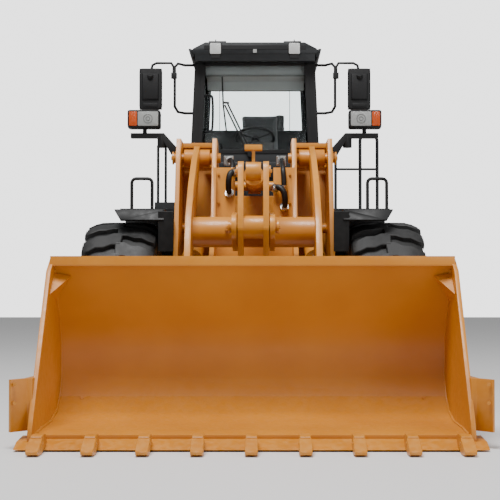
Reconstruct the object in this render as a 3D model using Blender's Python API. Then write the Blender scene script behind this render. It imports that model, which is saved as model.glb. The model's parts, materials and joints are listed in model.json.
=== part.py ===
"""Articulated wheel loader: frames, axles, cab, boom and bucket linkage, all in metres, +Z up, front at -Y.

Design coordinates put the articulation pivot at Y = 0. The root empty shifts the whole machine so that the
middle of its overall box stands over the world's origin.
"""
import bpy
import bmesh
from math import acos, atan2, cos, hypot, pi, radians, sin
from mathutils import Matrix, Vector

# ---- driving sizes -------------------------------------------------------------------------------------
GAP = 0.0003                 # faces that touch on the real machine
RUN = 0.008                  # faces that slide past each other
PIN_FIT = 0.0005             # radial clearance of a pin in its bore
ROD_FIT = 0.0006             # radial clearance of a rod in its barrel
WHEELBASE = 3.30
TRACK = 2.19
TYRE_RADIUS = 0.80
TYRE_WIDTH = 0.595
RIM_RADIUS = 0.345
RIM_WIDTH = 0.50
TURN_SIDES = 28
PIN_SIDES = 24
PLATE = 0.04

FRONT_AXLE_Y = -WHEELBASE / 2
REAR_AXLE_Y = WHEELBASE / 2
AXLE_Z = TYRE_RADIUS
AXLE_TUBE = 0.13
AXLE_DRUM = 0.18
AXLE_BOWL = 0.24
DRUM_END = TRACK / 2 - 0.0205

# front frame
TOWER_OUT = 0.68             # middle of the outer tower plates
TOWER_IN = 0.357             # middle of the inner tower plates
TOWER_TOP = 2.385
TOWER_FRONT = -1.12           # front end of the tower tops
TOWER_REAR = -0.66
FRAME_UNDER = 1.00
KEEL_HALF = 0.22
HINGE_UPPER = 1.29
HINGE_LOWER = 0.62
HINGE_PLATE = 0.06
HINGE_PIN = 0.05
HINGE_BOSS = 0.14

# boom, bellcrank, bucket: pins as (y, z)
BOOM_X = 0.52
BOOM_PLATE = 0.048
BOOM_PIN = (-1.00, 2.22)
BUCKET_PIN = (-2.78, 0.30)
CRANK_PIN = (-2.45, 1.52)
CRANK_TOP = (-2.35, 1.97)
CRANK_LOW = (-2.05, 0.99)
LINK_PIN = (-2.59, 0.582)
TILT_BASE = (-0.60, 2.00)
LIFT_BASE = (-0.84, 1.59)
LIFT_EYE = (-2.025, 1.195)
CROSS_TUBE = (-2.03, 1.50)
CROSS_TUBE_RADIUS = 0.125
PIN_RADIUS = 0.045
CRANK_X = 0.10               # middle of each bellcrank plate
CRANK_PLATE = 0.045
BARREL_RADIUS = 0.085
ROD_RADIUS = 0.05

# steering cylinders in plan, (x, y)
STEER_Z = 0.75
STEER_BASE = (0.53, 0.78)
STEER_EYE = (0.46, -0.50)
STEER_BARREL = 0.055
STEER_ROD = 0.03
STEER_PIN = 0.03

# bucket
BUCKET_HALF = 1.45
SHEET = 0.024
SIDE_SHEET = 0.03
EDGE_FRONT = -4.20
EDGE_HALF = BUCKET_HALF + 0.07
EDGE_UNDER = 0.012           # the blade's height over the ground
TOOTH_TIP = -4.42
TOOTH_COUNT = 9
TOOTH_SPAN = 2 * BUCKET_HALF - 0.19
BOWL = [(-3.98, 0.084), (-3.75, 0.10), (-3.39, 0.104), (-3.16, 0.15), (-3.02, 0.25), (-2.96, 0.40),
        (-2.97, 0.62), (-3.03, 0.80), (-3.14, 0.94), (-3.30, 1.25)]

# rear frame, cab and body
REAR_PLATE_X = 0.42
REAR_FRONT = 0.27
REAR_END = 3.15
FRAME_PEAK = 1.60             # top of the rear frame under the cab
RAIL_TOP = 1.28              # top of the rear frame under the engine
BODY_REAR = 3.70
DECK_TOP = 1.83
DECK_THICK = 0.05
DECK_OUT = 1.34
CAB_FRONT = -0.04
CAB_REAR = 1.30
CAB_HALF = 0.66
CAB_TOP_HALF = 0.59
CAB_FLOOR = 1.80
CAB_TOP = 3.34
WALL = 0.06
ROOF_HALF = 0.625
ROOF_TOP = 3.455
VISOR_REACH = 0.12           # how far the roof stands out in front of the cab
VISOR_LOW = 3.27
LAMP_PAD_X = 0.37            # middle of the raised pads over the roof lamps
LAMP_PAD_TOP = 3.48
RAIL_Y = 0.36
RAIL_RADIUS = 0.017
FENDER_IN = TOWER_OUT + PLATE / 2 + 0.035
FENDER_OUT = TRACK / 2 + 0.052
FENDER_TOP = AXLE_Z + TYRE_RADIUS + 0.09
FENDER_SHEET = 0.012
MIRROR_X = 1.025
MIRROR_WIDTH = 0.216
HOOD_FRONT = 1.42
HOOD_REAR = 3.25
HOOD_HALF = 0.60
HOOD_LOW = RAIL_TOP + GAP
HOOD_TOP = 2.46
STACK_TOP = 3.05
PANEL = 0.025
DOOR_GAP = 0.005
HINGE_GAP = 0.0004
SIDE_DOOR = {"y0": 1.56, "y1": 2.85, "z0": 1.74, "z1": 2.33}
GRILLE = {"half": HOOD_HALF - 0.10, "z0": 1.40, "z1": 2.10}

OVERALL_SHIFT = -(TOOTH_TIP + BODY_REAR) / 2

FINISHES = {
    "paint": ((0.62, 0.27, 0.06), 0.45, 0.0),
    "charcoal": ((0.035, 0.038, 0.042), 0.5, 0.0),
    "black": ((0.02, 0.02, 0.022), 0.55, 0.0),
    "rubber": ((0.025, 0.024, 0.023), 0.85, 0.0),
    "glass": ((0.55, 0.62, 0.62), 0.05, 0.0),
    "steel": ((0.30, 0.29, 0.28), 0.45, 1.0),
    "chrome": ((0.75, 0.75, 0.76), 0.15, 1.0),
    "iron": ((0.16, 0.15, 0.14), 0.6, 0.6),
    "seat": ((0.05, 0.05, 0.055), 0.9, 0.0),
}


# ---- solids --------------------------------------------------------------------------------------------
def to_object(bm):
    bmesh.ops.remove_doubles(bm, verts=bm.verts, dist=1e-6)
    bmesh.ops.recalc_face_normals(bm, faces=bm.faces)
    mesh = bpy.data.meshes.new("solid")
    bm.to_mesh(mesh)
    bm.free()
    obj = bpy.data.objects.new("solid", mesh)
    bpy.context.scene.collection.objects.link(obj)
    return obj


def prism(outline, low, high, place):
    """Extrudes a flat outline from low to high; place turns (u, v, w) into a point."""
    bm = bmesh.new()
    face = bm.faces.new([bm.verts.new(place(u, v, low)) for u, v in outline])
    grown = bmesh.ops.extrude_face_region(bm, geom=[face])
    step = Vector(place(0, 0, high)) - Vector(place(0, 0, low))
    moved = [item for item in grown["geom"] if isinstance(item, bmesh.types.BMVert)]
    bmesh.ops.translate(bm, vec=step, verts=moved)
    return to_object(bm)


def prism_x(outline, low, high):
    return prism(outline, low, high, lambda u, v, w: (w, u, v))


def prism_y(outline, low, high):
    return prism(outline, low, high, lambda u, v, w: (u, w, v))


def prism_z(outline, low, high):
    return prism(outline, low, high, lambda u, v, w: (u, v, w))


def box(x0, x1, y0, y1, z0, z1):
    return prism_z([(x0, y0), (x1, y0), (x1, y1), (x0, y1)], z0, z1)


def bar(start, end, radius, sides=16):
    """A round bar between two points, with one flat's corner at the lowest side."""
    start, end = Vector(start), Vector(end)
    bm = bmesh.new()
    turn = (end - start).to_track_quat("Z", "Y").to_matrix().to_4x4()
    matrix = Matrix.Translation((start + end) / 2) @ turn
    bmesh.ops.create_cone(bm, cap_ends=True, segments=sides, radius1=radius, radius2=radius,
                          depth=(end - start).length, matrix=matrix)
    return to_object(bm)


def turned_x(profile, y, z, sides=TURN_SIDES, ring=False):
    """Spins (x, radius) points about the line along X through (y, z)."""
    bm = bmesh.new()
    verts = [bm.verts.new((x, y, z - radius)) for x, radius in profile]
    edges = [bm.edges.new(pair) for pair in zip(verts, verts[1:])]
    if ring:
        edges.append(bm.edges.new((verts[-1], verts[0])))
    bmesh.ops.spin(bm, geom=verts + edges, cent=(0, y, z), axis=(1, 0, 0), angle=2 * pi, steps=sides,
                   use_merge=True)
    return to_object(bm)


def pipe(points, radius, resolution=2):
    """A bent tube of round section along a list of points, closed at both ends."""
    curve = bpy.data.curves.new("pipe", "CURVE")
    curve.dimensions = "3D"
    curve.bevel_depth = radius
    curve.bevel_resolution = resolution
    curve.use_fill_caps = True
    spline = curve.splines.new("POLY")
    spline.points.add(len(points) - 1)
    for spot, point in zip(spline.points, points):
        spot.co = (*point, 1)
    obj = bpy.data.objects.new("pipe", curve)
    bpy.context.scene.collection.objects.link(obj)
    mesh = evaluated_mesh(obj)
    bpy.data.objects.remove(obj)
    bm = bmesh.new()
    bm.from_mesh(mesh)
    bpy.data.meshes.remove(mesh)
    return to_object(bm)


def evaluated_mesh(obj):
    graph = bpy.context.evaluated_depsgraph_get()
    graph.update()
    return bpy.data.meshes.new_from_object(obj.evaluated_get(graph))


def fuse(solids, cuts=(), solver="EXACT"):
    """One solid from several: the first joined with the others, then cut by each of the cuts."""
    body = solids[0]
    for operation, tools in (("UNION", solids[1:]), ("DIFFERENCE", cuts)):
        for tool in tools:
            change = body.modifiers.new("join", "BOOLEAN")
            change.operation = operation
            change.solver = solver
            change.object = tool
            mesh = evaluated_mesh(body)
            body.modifiers.clear()
            body.data = mesh
            bpy.data.objects.remove(tool)
    bm = bmesh.new()
    bm.from_mesh(body.data)
    bmesh.ops.dissolve_limit(bm, angle_limit=radians(0.3), verts=bm.verts, edges=bm.edges)
    bpy.data.objects.remove(body)
    return to_object(bm)


def mirrored(obj):
    """The same solid on the other side of the machine."""
    obj.data.transform(Matrix.Diagonal((-1, 1, 1, 1)))
    obj.data.flip_normals()
    return obj


def arc(centre, radius, start, end, steps):
    """Points on a circle in the outline's own plane, angles in degrees."""
    angles = [radians(start + (end - start) * i / steps) for i in range(steps + 1)]
    return [(centre[0] + radius * cos(a), centre[1] + radius * sin(a)) for a in angles]


def capsule(first, second, r1, r2, steps=6):
    """The outline of a bar with round ends around two pins."""
    along = atan2(second[1] - first[1], second[0] - first[0]) * 180 / pi
    length = hypot(second[0] - first[0], second[1] - first[1])
    lean = acos((r1 - r2) / length) * 180 / pi
    return (arc(second, r2, along - lean, along + lean, steps)
            + arc(first, r1, along + lean, along + 360 - lean, steps))


def bore(pin, low, high, radius=PIN_RADIUS):
    """A cutter for the bore of a pin along X."""
    return bar((low, *pin), (high, *pin), (radius + PIN_FIT) / cos(pi / PIN_SIDES), PIN_SIDES)


def pin_x(pin, low, high, radius=PIN_RADIUS):
    return bar((low, *pin), (high, *pin), radius, PIN_SIDES)


# ---- nodes and bodies ----------------------------------------------------------------------------------
bodies = {}


def material(finish):
    if finish in bpy.data.materials:
        return bpy.data.materials[finish]
    colour, rough, metal = FINISHES[finish]
    made = bpy.data.materials.new(finish)
    made.use_nodes = True
    shader = made.node_tree.nodes["Principled BSDF"]
    shader.inputs["Base Color"].default_value = (*colour, 1)
    shader.inputs["Roughness"].default_value = rough
    shader.inputs["Metallic"].default_value = metal
    return made


def body(name, parent, pivot):
    """An empty on a joint's axis, in design coordinates; it carries the body's pieces."""
    holder = bpy.data.objects.new("at_" + name, None)
    bpy.context.scene.collection.objects.link(holder)
    pivot = Vector(pivot)
    if parent:
        holder.parent = bodies[parent][0]
        holder.location = pivot - bodies[parent][1]
    else:
        holder.location = pivot + Vector((0, OVERALL_SHIFT, 0))
    bodies[name] = (holder, pivot)


def node(name, obj, on, finish):
    """Names a finished solid, hangs it on its body and gives it its finish."""
    holder, pivot = bodies[on]
    obj.name = name
    obj.data.name = name
    obj.data.transform(Matrix.Translation(-pivot))
    obj.parent = holder
    obj.data.materials.clear()
    obj.data.materials.append(material(finish))


def clear_scene():
    for obj in list(bpy.data.objects):
        bpy.data.objects.remove(obj)


# ---- running gear --------------------------------------------------------------------------------------
def tyre(side, y):
    middle = side * TRACK / 2
    half, bead = TYRE_WIDTH / 2, RIM_WIDTH / 2 - 0.006
    inner = RIM_RADIUS + GAP
    profile = [(-bead, inner), (-half * 0.93, 0.42), (-half, 0.56), (-half * 0.97, 0.68),
               (-half * 0.93, 0.745), (-half * 0.80, 0.785), (-half * 0.4, TYRE_RADIUS)]
    profile += [(-x, r) for x, r in reversed(profile)]
    return turned_x([(middle + x, r) for x, r in profile], y, AXLE_Z, ring=True)


def rim(side, y):
    middle = side * TRACK / 2
    half = RIM_WIDTH / 2
    profile = [(0.19, 0), (0.19, 0.11), (0.165, 0.15), (0.09, 0.155), (0.08, 0.20), (0.07, 0.285),
               (0.12, 0.305), (half, 0.32), (half, RIM_RADIUS), (-half, RIM_RADIUS), (-half, 0.318),
               (-0.02, 0.30), (-0.02, 0)]
    return turned_x([(middle + side * x, r) for x, r in profile], y, AXLE_Z)


def axle(y, pad_x, pad_top, pad_half):
    """Housing from drum to drum with its round middle and the pads that carry the frame."""
    half = [(0, AXLE_BOWL), (0.14, AXLE_BOWL), (0.26, AXLE_TUBE + 0.03), (0.40, AXLE_TUBE),
            (0.78, AXLE_TUBE), (0.82, AXLE_DRUM), (DRUM_END, AXLE_DRUM), (DRUM_END, 0)]
    profile = [(-x, r) for x, r in reversed(half[1:])] + half[1:]
    housing = turned_x(profile, y, AXLE_Z, sides=20)
    pads = [box(s * pad_x - 0.07, s * pad_x + 0.07, y - pad_half, y + pad_half, AXLE_Z, pad_top)
            for s in (-1, 1)]
    return fuse([housing] + pads)


# ---- front frame ---------------------------------------------------------------------------------------
def hinge_tongue(z):
    outline = [(-KEEL_HALF + 0.02, -0.36)] + [(KEEL_HALF - 0.02, -0.36)]
    outline += arc((0, 0), HINGE_BOSS, 0, 180, 12)
    return prism_z(outline, z - HINGE_PLATE / 2, z + HINGE_PLATE / 2)


def pin_z(x, y, z0, z1, radius):
    return bar((x, y, z0), (x, y, z1), radius, PIN_SIDES)


def bore_z(x, y, z0, z1, radius):
    return bar((x, y, z0), (x, y, z1), (radius + PIN_FIT) / cos(pi / PIN_SIDES), PIN_SIDES)


def front_frame():
    half = PLATE / 2
    inner = [(-0.44, FRAME_UNDER), (-0.44, 1.35), (-0.48, 2.02), (-0.62, 2.22), (-0.75, TOWER_TOP),
             (TOWER_FRONT, TOWER_TOP), (-1.22, 2.17), (-1.50, 1.50), (-2.00, 1.22), (-2.05, FRAME_UNDER)]
    outer = [(TOWER_REAR, 1.10), (TOWER_REAR, 2.22), (-0.74, TOWER_TOP), (TOWER_FRONT, TOWER_TOP),
             (-1.22, 2.17), (-1.42, 1.55), (-1.55, 1.20), (-1.55, 1.10)]
    solids = [box(-KEEL_HALF, KEEL_HALF, -1.25, -0.34, 0.55, FRAME_UNDER + 0.08)]
    for side in (-1, 1):
        solids.append(prism_x(inner, side * TOWER_IN - half, side * TOWER_IN + half))
        solids.append(prism_x(outer, side * TOWER_OUT - half, side * TOWER_OUT + half))
        x0, x1 = sorted((side * TOWER_IN, side * TOWER_OUT))
        solids.append(box(x0, x1, -0.83, -0.70, TOWER_TOP - 0.05, TOWER_TOP - 0.005))
        solids.append(box(x0, x1, -1.55, TOWER_REAR, 1.10, 1.15))
        for wall, reach in ((side * TOWER_IN, side * 0.115), (side * TOWER_OUT, -side * 0.085)):
            a, b = sorted((wall, wall + reach))
            solids.append(box(a, b, -0.87, -0.74, 2.150, 2.168))
        solids.append(box(x0, x1, TOWER_REAR - 0.04, TOWER_REAR - 0.004, 1.10, TOWER_TOP - 0.25))
        solids.append(pin_x(BOOM_PIN, x0 - 0.05, x1 + 0.05))
        solids.append(pin_x(LIFT_BASE, x0 - 0.04, x1 + 0.04))
        wing0, wing1 = sorted((side * 0.17, side * TOWER_IN))
        solids.append(box(wing0, wing1, -1.25, -1.21, 1.20, 2.11))
        lug0, lug1 = sorted((side * (KEEL_HALF - 0.02), side * (STEER_EYE[0] + 0.07)))
        for z in (STEER_Z - 0.075, STEER_Z + 0.045):
            solids.append(box(lug0, lug1, STEER_EYE[1] - 0.075, STEER_EYE[1] + 0.075, z, z + 0.03))
    inside = TOWER_IN - half + 0.005
    solids.append(box(-inside, inside, -1.28, -1.18, 1.12, 1.40))
    solids.append(box(-inside, inside, -1.76, -0.46, FRAME_UNDER + 0.06, FRAME_UNDER + 0.10))
    solids.append(box(-inside, inside, -1.765, -1.725, FRAME_UNDER + 0.05, 1.28))
    solids.append(box(-inside, inside, -0.49, -0.45, FRAME_UNDER + 0.01, 1.80))
    solids.append(box(-KEEL_HALF + 0.01, KEEL_HALF - 0.01, -0.475, -0.345, 0.9, HINGE_UPPER + 0.02))
    solids.append(pin_x(TILT_BASE, -TOWER_IN - half - 0.02, TOWER_IN + half + 0.02))
    solids += [hinge_tongue(HINGE_UPPER), hinge_tongue(HINGE_LOWER)]
    cuts = [bore_z(0, 0, z - 0.1, z + 0.1, HINGE_PIN) for z in (HINGE_UPPER, HINGE_LOWER)]
    return fuse(solids, cuts, "MANIFOLD")


def front_fender(side):
    """Bent plate over the wheel, the skirt between wheel and tower, and a hoop to hold on to."""
    outer = [(FRONT_AXLE_Y + y, FENDER_TOP - drop) for y, drop in
             ((-0.43, 0.09), (-0.35, 0), (0.37, 0), (0.53, 0.05), (0.67, 0.18), (0.79, 0.44))]
    inner = [(y + (FENDER_SHEET if y < FRONT_AXLE_Y else -FENDER_SHEET), z - FENDER_SHEET)
             for y, z in reversed(outer)]
    skin = prism_x(outer + inner, FENDER_IN, FENDER_OUT)
    for vert in skin.data.vertices:
        if vert.co.x > FENDER_OUT - 0.01 and vert.co.y < FRONT_AXLE_Y - 0.40:
            vert.co.x -= 0.06
    sheet = FENDER_IN + 0.001
    skirt = prism_x([(FRONT_AXLE_Y - 0.37, FENDER_TOP - 0.31), (FRONT_AXLE_Y - 0.37, FENDER_TOP - 0.003),
                     (FRONT_AXLE_Y + 0.60, FENDER_TOP - 0.08), (FRONT_AXLE_Y + 0.75, FENDER_TOP - 0.31)],
                    sheet, sheet + FENDER_SHEET)
    arm = box(TOWER_OUT + PLATE / 2 + GAP, FENDER_IN + 0.01, -1.50, -1.36, FENDER_TOP - 0.13,
              FENDER_TOP - 0.05)
    x0, x1 = (0.95, 1.11) if side > 0 else (0.85, 1.02)
    hoop = pipe(hoop_line(x0, x1, FRONT_AXLE_Y - 0.21, FENDER_TOP - 0.006, 1.955, 0.035), 0.014)
    made = fuse([skin, skirt, arm, hoop])
    return made if side > 0 else mirrored(made)


def hoop_line(x0, x1, y, low, high, bend):
    """The line of a bent rail: up at x0, across at the top and down at x1."""
    left = arc((x0 + bend, high - bend), bend, 180, 90, 3)
    right = arc((x1 - bend, high - bend), bend, 90, 0, 3)
    return [(x, y, z) for x, z in [(x0, low)] + left + right + [(x1, low)]]


# ---- boom and linkage ----------------------------------------------------------------------------------
def boom():
    half = BOOM_PLATE / 2
    web = (arc(BOOM_PIN, 0.11, 110, -125, 10)
           + [(-1.45, 1.80), (-1.78, 1.57), (-1.96, 1.40)] + arc(LIFT_EYE, 0.085, 60, -150, 7)
           + [(-2.16, 1.16), (-2.25, 0.95), (-2.44, 0.60), (-2.63, 0.30)]
           + arc(BUCKET_PIN, 0.115, 0, -180, 8)[1:-1]
           + [(-2.88, 0.34), (-2.76, 0.47), (-2.62, 0.70), (-2.57, 0.98), (-2.48, 1.28), (-2.32, 1.60),
              (-1.95, 1.90), (-1.50, 2.15)])
    solids = []
    for side in (-1, 1):
        middle = side * BOOM_X
        solids.append(prism_x(web, middle - half, middle + half))
        for pin, radius, reach in ((BOOM_PIN, 0.078, 0.115), (BUCKET_PIN, 0.095, 0.08)):
            solids.append(bar((middle - reach, *pin), (middle + reach, *pin), radius, 16))
    solids.append(bar((-BOOM_X, *CROSS_TUBE), (BOOM_X, *CROSS_TUBE), CROSS_TUBE_RADIUS, 18))
    ear = capsule(CROSS_TUBE, CRANK_PIN, 0.16, 0.10)
    for side in (-1, 1):
        middle = side * (CRANK_X + CRANK_PLATE / 2 + RUN + 0.02)
        solids.append(prism_x(ear, middle - 0.02, middle + 0.02))
    reach = CRANK_X + CRANK_PLATE / 2 + RUN + 0.055
    solids.append(pin_x(CRANK_PIN, -reach, reach))
    cuts = [bore(pin, side * BOOM_X - 0.2, side * BOOM_X + 0.2)
            for pin in (BOOM_PIN, BUCKET_PIN) for side in (-1, 1)]
    return fuse(solids, cuts)


def bellcrank():
    half = CRANK_PLATE / 2
    upper = capsule(CRANK_PIN, CRANK_TOP, 0.10, 0.08)
    lower = capsule(CRANK_PIN, CRANK_LOW, 0.10, 0.075)
    solids = []
    for side in (-1, 1):
        low, high = side * CRANK_X - half, side * CRANK_X + half
        solids += [prism_x(upper, low, high), prism_x(lower, low, high)]
    solids.append(bar((-CRANK_X, *CRANK_PIN), (CRANK_X, *CRANK_PIN), 0.09, 24))
    solids.append(pin_x(CRANK_LOW, -CRANK_X - half - 0.012, CRANK_X + half + 0.012, 0.035))
    return fuse(solids, [bore(CRANK_PIN, -0.2, 0.2)])


def tilt_link():
    width = CRANK_X - CRANK_PLATE / 2 - RUN
    outline = capsule(CRANK_LOW, LINK_PIN, 0.075, 0.075)
    return fuse([prism_x(outline, -width, width)], [bore(CRANK_LOW, -0.2, 0.2, 0.035)])


def bowl_band(thick):
    """The bent plate's outline: the bowl's inner line and the same line set out by its thickness."""
    outer = []
    for i, (y, z) in enumerate(BOWL):
        before, after = BOWL[max(i - 1, 0)], BOWL[min(i + 1, len(BOWL) - 1)]
        dy, dz = after[0] - before[0], after[1] - before[1]
        length = hypot(dy, dz)
        outer.append((y + thick * dz / length, z - thick * dy / length))
    return BOWL + outer[::-1]


def bucket():
    sheet = prism_x(bowl_band(SHEET), -BUCKET_HALF + 0.006, BUCKET_HALF - 0.006)
    side_wall = [(-4.07, 0.0537), (-3.86, 0.0687), (-3.39, 0.082), (-3.14, 0.132), (-3.0, 0.24),
                 (-2.937, 0.40), (-2.947, 0.625), (-3.01, 0.81), (-3.12, 0.95), (-3.27, 1.25),
                 (-3.42, 1.16), (-4.02, 0.20), (-4.07, 0.10)]
    solids = [sheet]
    for side in (-1, 1):
        low, high = sorted((side * (BUCKET_HALF - SIDE_SHEET), side * BUCKET_HALF))
        solids.append(prism_x(side_wall, low, high))
        for x in (BOOM_X - 0.10, BOOM_X + 0.10):
            solids.append(hinge_cheek(side * x))
        guard = [(-0.01, -3.72), (0.025, -3.72), (0.05, -3.93), (0.125, -4.04), (0.11, -4.055),
                 (0.025, -3.96), (-0.01, -3.95)]
        solids.append(prism_z([(side * (BUCKET_HALF + x), y) for x, y in guard], 0.11, 0.45))
        x0, x1 = sorted((side * (BOOM_X - 0.125), side * (BOOM_X + 0.125)))
        solids.append(pin_x(BUCKET_PIN, x0, x1))
    for side in (-1, 1):
        solids.append(link_cheek(side * (CRANK_X - CRANK_PLATE / 2 + 0.02)))
    solids.append(box(-BUCKET_HALF + 0.012, BUCKET_HALF - 0.012, -3.335, -3.27, 1.20, 1.27))
    return fuse(solids)


def hinge_cheek(x):
    outline = arc(BUCKET_PIN, 0.09, 90, -90, 8) + [(-3.03, 0.20), (-2.955, 0.42), (-2.965, 0.56)]
    return prism_x(outline, x - 0.0125, x + 0.0125)


def link_cheek(x):
    outline = arc(LINK_PIN, 0.07, 90, -90, 8) + [(-2.95, 0.34), (-2.965, 0.56), (-2.985, 0.70)]
    return prism_x(outline, x - 0.0125, x + 0.0125)


def cutting_edge():
    blade = prism_x([(EDGE_FRONT, EDGE_UNDER), (-4.07, 0.0533), (-3.86, 0.0678), (-3.86, EDGE_UNDER + 0.01)],
                    -EDGE_HALF, EDGE_HALF)
    solids = [blade]
    for i in range(TOOTH_COUNT):
        x = (i / (TOOTH_COUNT - 1) - 0.5) * TOOTH_SPAN
        outline = [(TOOTH_TIP, 0.02), (TOOTH_TIP, 0.032), (-4.26, 0.105), (-4.12, 0.115), (-4.05, 0.05),
                   (-4.16, 0.03), (-4.2, 0.005), (-4.3, 0.0)]
        solids.append(prism_x(outline, x - 0.041, x + 0.041))
    return fuse(solids)


# ---- cylinders -----------------------------------------------------------------------------------------
def along(start, end, distance):
    start, end = Vector(start), Vector(end)
    return start + (end - start).normalized() * distance


def ram(base, eye, barrel_length, rod_start, radii, eye_radius, eye_half, pin_radius, across):
    """Barrel and rod of one cylinder; across is the direction of its pins."""
    barrel_radius, rod_radius = radii
    across = Vector(across) * eye_half
    base, eye = Vector(base), Vector(eye)
    collar_end = along(base, eye, barrel_length)
    cavity = rod_radius + ROD_FIT
    barrel = fuse(
        [bar(along(base, eye, eye_radius + 0.06), collar_end, barrel_radius, 16),
         bar(base, along(base, eye, eye_radius + 0.07), eye_half * 0.8, 12),
         bar(base - across, base + across, eye_radius, 16)],
        [bar(along(base, eye, eye_radius + 0.10), along(base, eye, barrel_length + 0.05), cavity, 12),
         bar(base - across * 2, base + across * 2, (pin_radius + PIN_FIT) / cos(pi / PIN_SIDES), PIN_SIDES)])
    rod = fuse(
        [bar(along(base, eye, rod_start), along(eye, base, eye_radius * 0.7), rod_radius, 12),
         bar(eye - across, eye + across, eye_radius, 16)],
        [bar(eye - across * 2, eye + across * 2, pin_radius + 0.004, PIN_SIDES)])
    return barrel, rod


def rod_guard(eye):
    """The flat guard that stands over the tilt rod's eye on a web."""
    y, z = eye
    half = CRANK_X - CRANK_PLATE / 2 - RUN
    return [box(-0.0125, 0.0125, y - 0.025, y + 0.025, z + 0.05, z + 0.17),
            box(-half, half, y - 0.06, y + 0.05, z + 0.165, z + 0.205)]


def lift_ram(side):
    """The rod ends in a fork around the boom's lug, open at its pin."""
    x = side * BOOM_X
    base, eye = Vector((x, *LIFT_BASE)), Vector((x, *LIFT_EYE))
    cheek_half = 0.0125
    cheek_x = BOOM_PLATE / 2 + RUN + cheek_half
    root = along(eye, base, 0.15)
    barrel = fuse([bar(along(base, eye, 0.09), along(base, eye, 0.98), BARREL_RADIUS, 16),
                   bar(base, along(base, eye, 0.10), 0.05, 12),
                   bar(base - Vector((0.06, 0, 0)), base + Vector((0.06, 0, 0)), 0.08, 16)],
                  [bar(along(base, eye, 0.15), along(base, eye, 1.1), ROD_RADIUS + ROD_FIT, 12),
                   bore(LIFT_BASE, x - 0.2, x + 0.2)])
    cheek = capsule(LIFT_EYE, (root.y, root.z), 0.07, 0.06)
    solids = [bar(along(base, eye, 0.17), along(base, eye, 1.11), ROD_RADIUS, 12),
              bar(along(eye, base, 0.17), along(eye, base, 0.125), 0.062, 12)]
    solids += [prism_x(cheek, x + s * cheek_x - cheek_half, x + s * cheek_x + cheek_half) for s in (-1, 1)]
    return barrel, fuse(solids)


# ---- rear frame and body -------------------------------------------------------------------------------
def rear_frame():
    half = PLATE / 2
    side_plate = [(REAR_FRONT, 0.90), (REAR_FRONT, 1.42), (0.45, FRAME_PEAK), (0.75, FRAME_PEAK),
                  (1.20, RAIL_TOP), (REAR_END, RAIL_TOP), (REAR_END, 0.98), (2.20, FRAME_UNDER),
                  (1.05, FRAME_UNDER)]
    solids = [box(-0.17, 0.17, 0.16, 1.00, 0.52, 1.02)]
    for side in (-1, 1):
        solids.append(prism_x(side_plate, side * REAR_PLATE_X - half, side * REAR_PLATE_X + half))
        lug0, lug1 = sorted((side * 0.15, side * (STEER_BASE[0] + 0.07)))
        for z in (STEER_Z - 0.075, STEER_Z + 0.045):
            solids.append(box(lug0, lug1, STEER_BASE[1] - 0.07, STEER_BASE[1] + 0.075, z, z + 0.03))
        solids.append(pin_z(side * STEER_BASE[0], STEER_BASE[1], STEER_Z - 0.09, STEER_Z + 0.09, STEER_PIN))
    for y0, y1, z0, z1 in ((REAR_FRONT, 0.31, 0.90, 1.42), (0.95, 1.00, 0.90, 1.30),
                           (2.20, 2.26, 1.01, RAIL_TOP), (3.06, 3.12, 1.01, RAIL_TOP)):
        solids.append(box(-REAR_PLATE_X, REAR_PLATE_X, y0, y1, z0, z1))
    for z in (HINGE_UPPER, HINGE_LOWER):
        for offset in (-1, 1):
            middle = z + offset * (HINGE_PLATE + 0.004)
            outline = [(0.17, 0.33), (-0.17, 0.33)] + arc((0, 0), HINGE_BOSS, 180, 360, 12)
            solids.append(prism_z(outline, middle - HINGE_PLATE / 2, middle + HINGE_PLATE / 2))
        solids.append(pin_z(0, 0, z - 0.11, z + 0.11, HINGE_PIN))
    return fuse(solids)


def counterweight():
    front = REAR_AXLE_Y + TYRE_RADIUS + 0.30
    right = [(0.95, front), (1.12, front + 0.20), (1.12, BODY_REAR - 0.25), (0.92, BODY_REAR)]
    outline = right + [(-x, y) for x, y in reversed(right)]
    block = prism_z(outline, 0.72, RAIL_TOP)
    inside = REAR_PLATE_X + PLATE / 2 + GAP
    slot = box(-inside, inside, front - 0.2, REAR_END + GAP, 0.6, 1.4)
    return fuse([block], [slot])


def engine_hood():
    shell = prism_x([(HOOD_FRONT, HOOD_LOW), (HOOD_FRONT, HOOD_TOP), (2.55, HOOD_TOP),
                     (HOOD_REAR - 0.15, HOOD_TOP - 0.14), (HOOD_REAR, HOOD_TOP - 0.24),
                     (HOOD_REAR, HOOD_LOW)], -HOOD_HALF, HOOD_HALF)
    inside = HOOD_HALF - PANEL
    hollow = prism_x([(HOOD_FRONT + PANEL, HOOD_LOW - 0.1), (HOOD_FRONT + PANEL, HOOD_TOP - 0.03),
                      (2.54, HOOD_TOP - 0.03), (HOOD_REAR - 0.17, HOOD_TOP - 0.17),
                      (HOOD_REAR - PANEL, HOOD_TOP - 0.26),
                      (HOOD_REAR - PANEL, HOOD_LOW - 0.1)], -inside, inside)
    sides = box(-1, 1, SIDE_DOOR["y0"], SIDE_DOOR["y1"], SIDE_DOOR["z0"], SIDE_DOOR["z1"])
    rear = box(-GRILLE["half"], GRILLE["half"], HOOD_REAR - 0.1, HOOD_REAR + 0.1, GRILLE["z0"], GRILLE["z1"])
    return fuse([shell], [hollow, sides, rear])


def engine_door(side):
    door = box(HOOD_HALF - PANEL, HOOD_HALF, SIDE_DOOR["y0"] + DOOR_GAP, SIDE_DOOR["y1"] - DOOR_GAP,
               SIDE_DOOR["z0"] + DOOR_GAP, SIDE_DOOR["z1"] - HINGE_GAP)
    return door if side > 0 else mirrored(door)


def rear_grille():
    return box(-GRILLE["half"] + DOOR_GAP, GRILLE["half"] - HINGE_GAP, HOOD_REAR - PANEL, HOOD_REAR,
               GRILLE["z0"] + DOOR_GAP, GRILLE["z1"] - DOOR_GAP)


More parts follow.
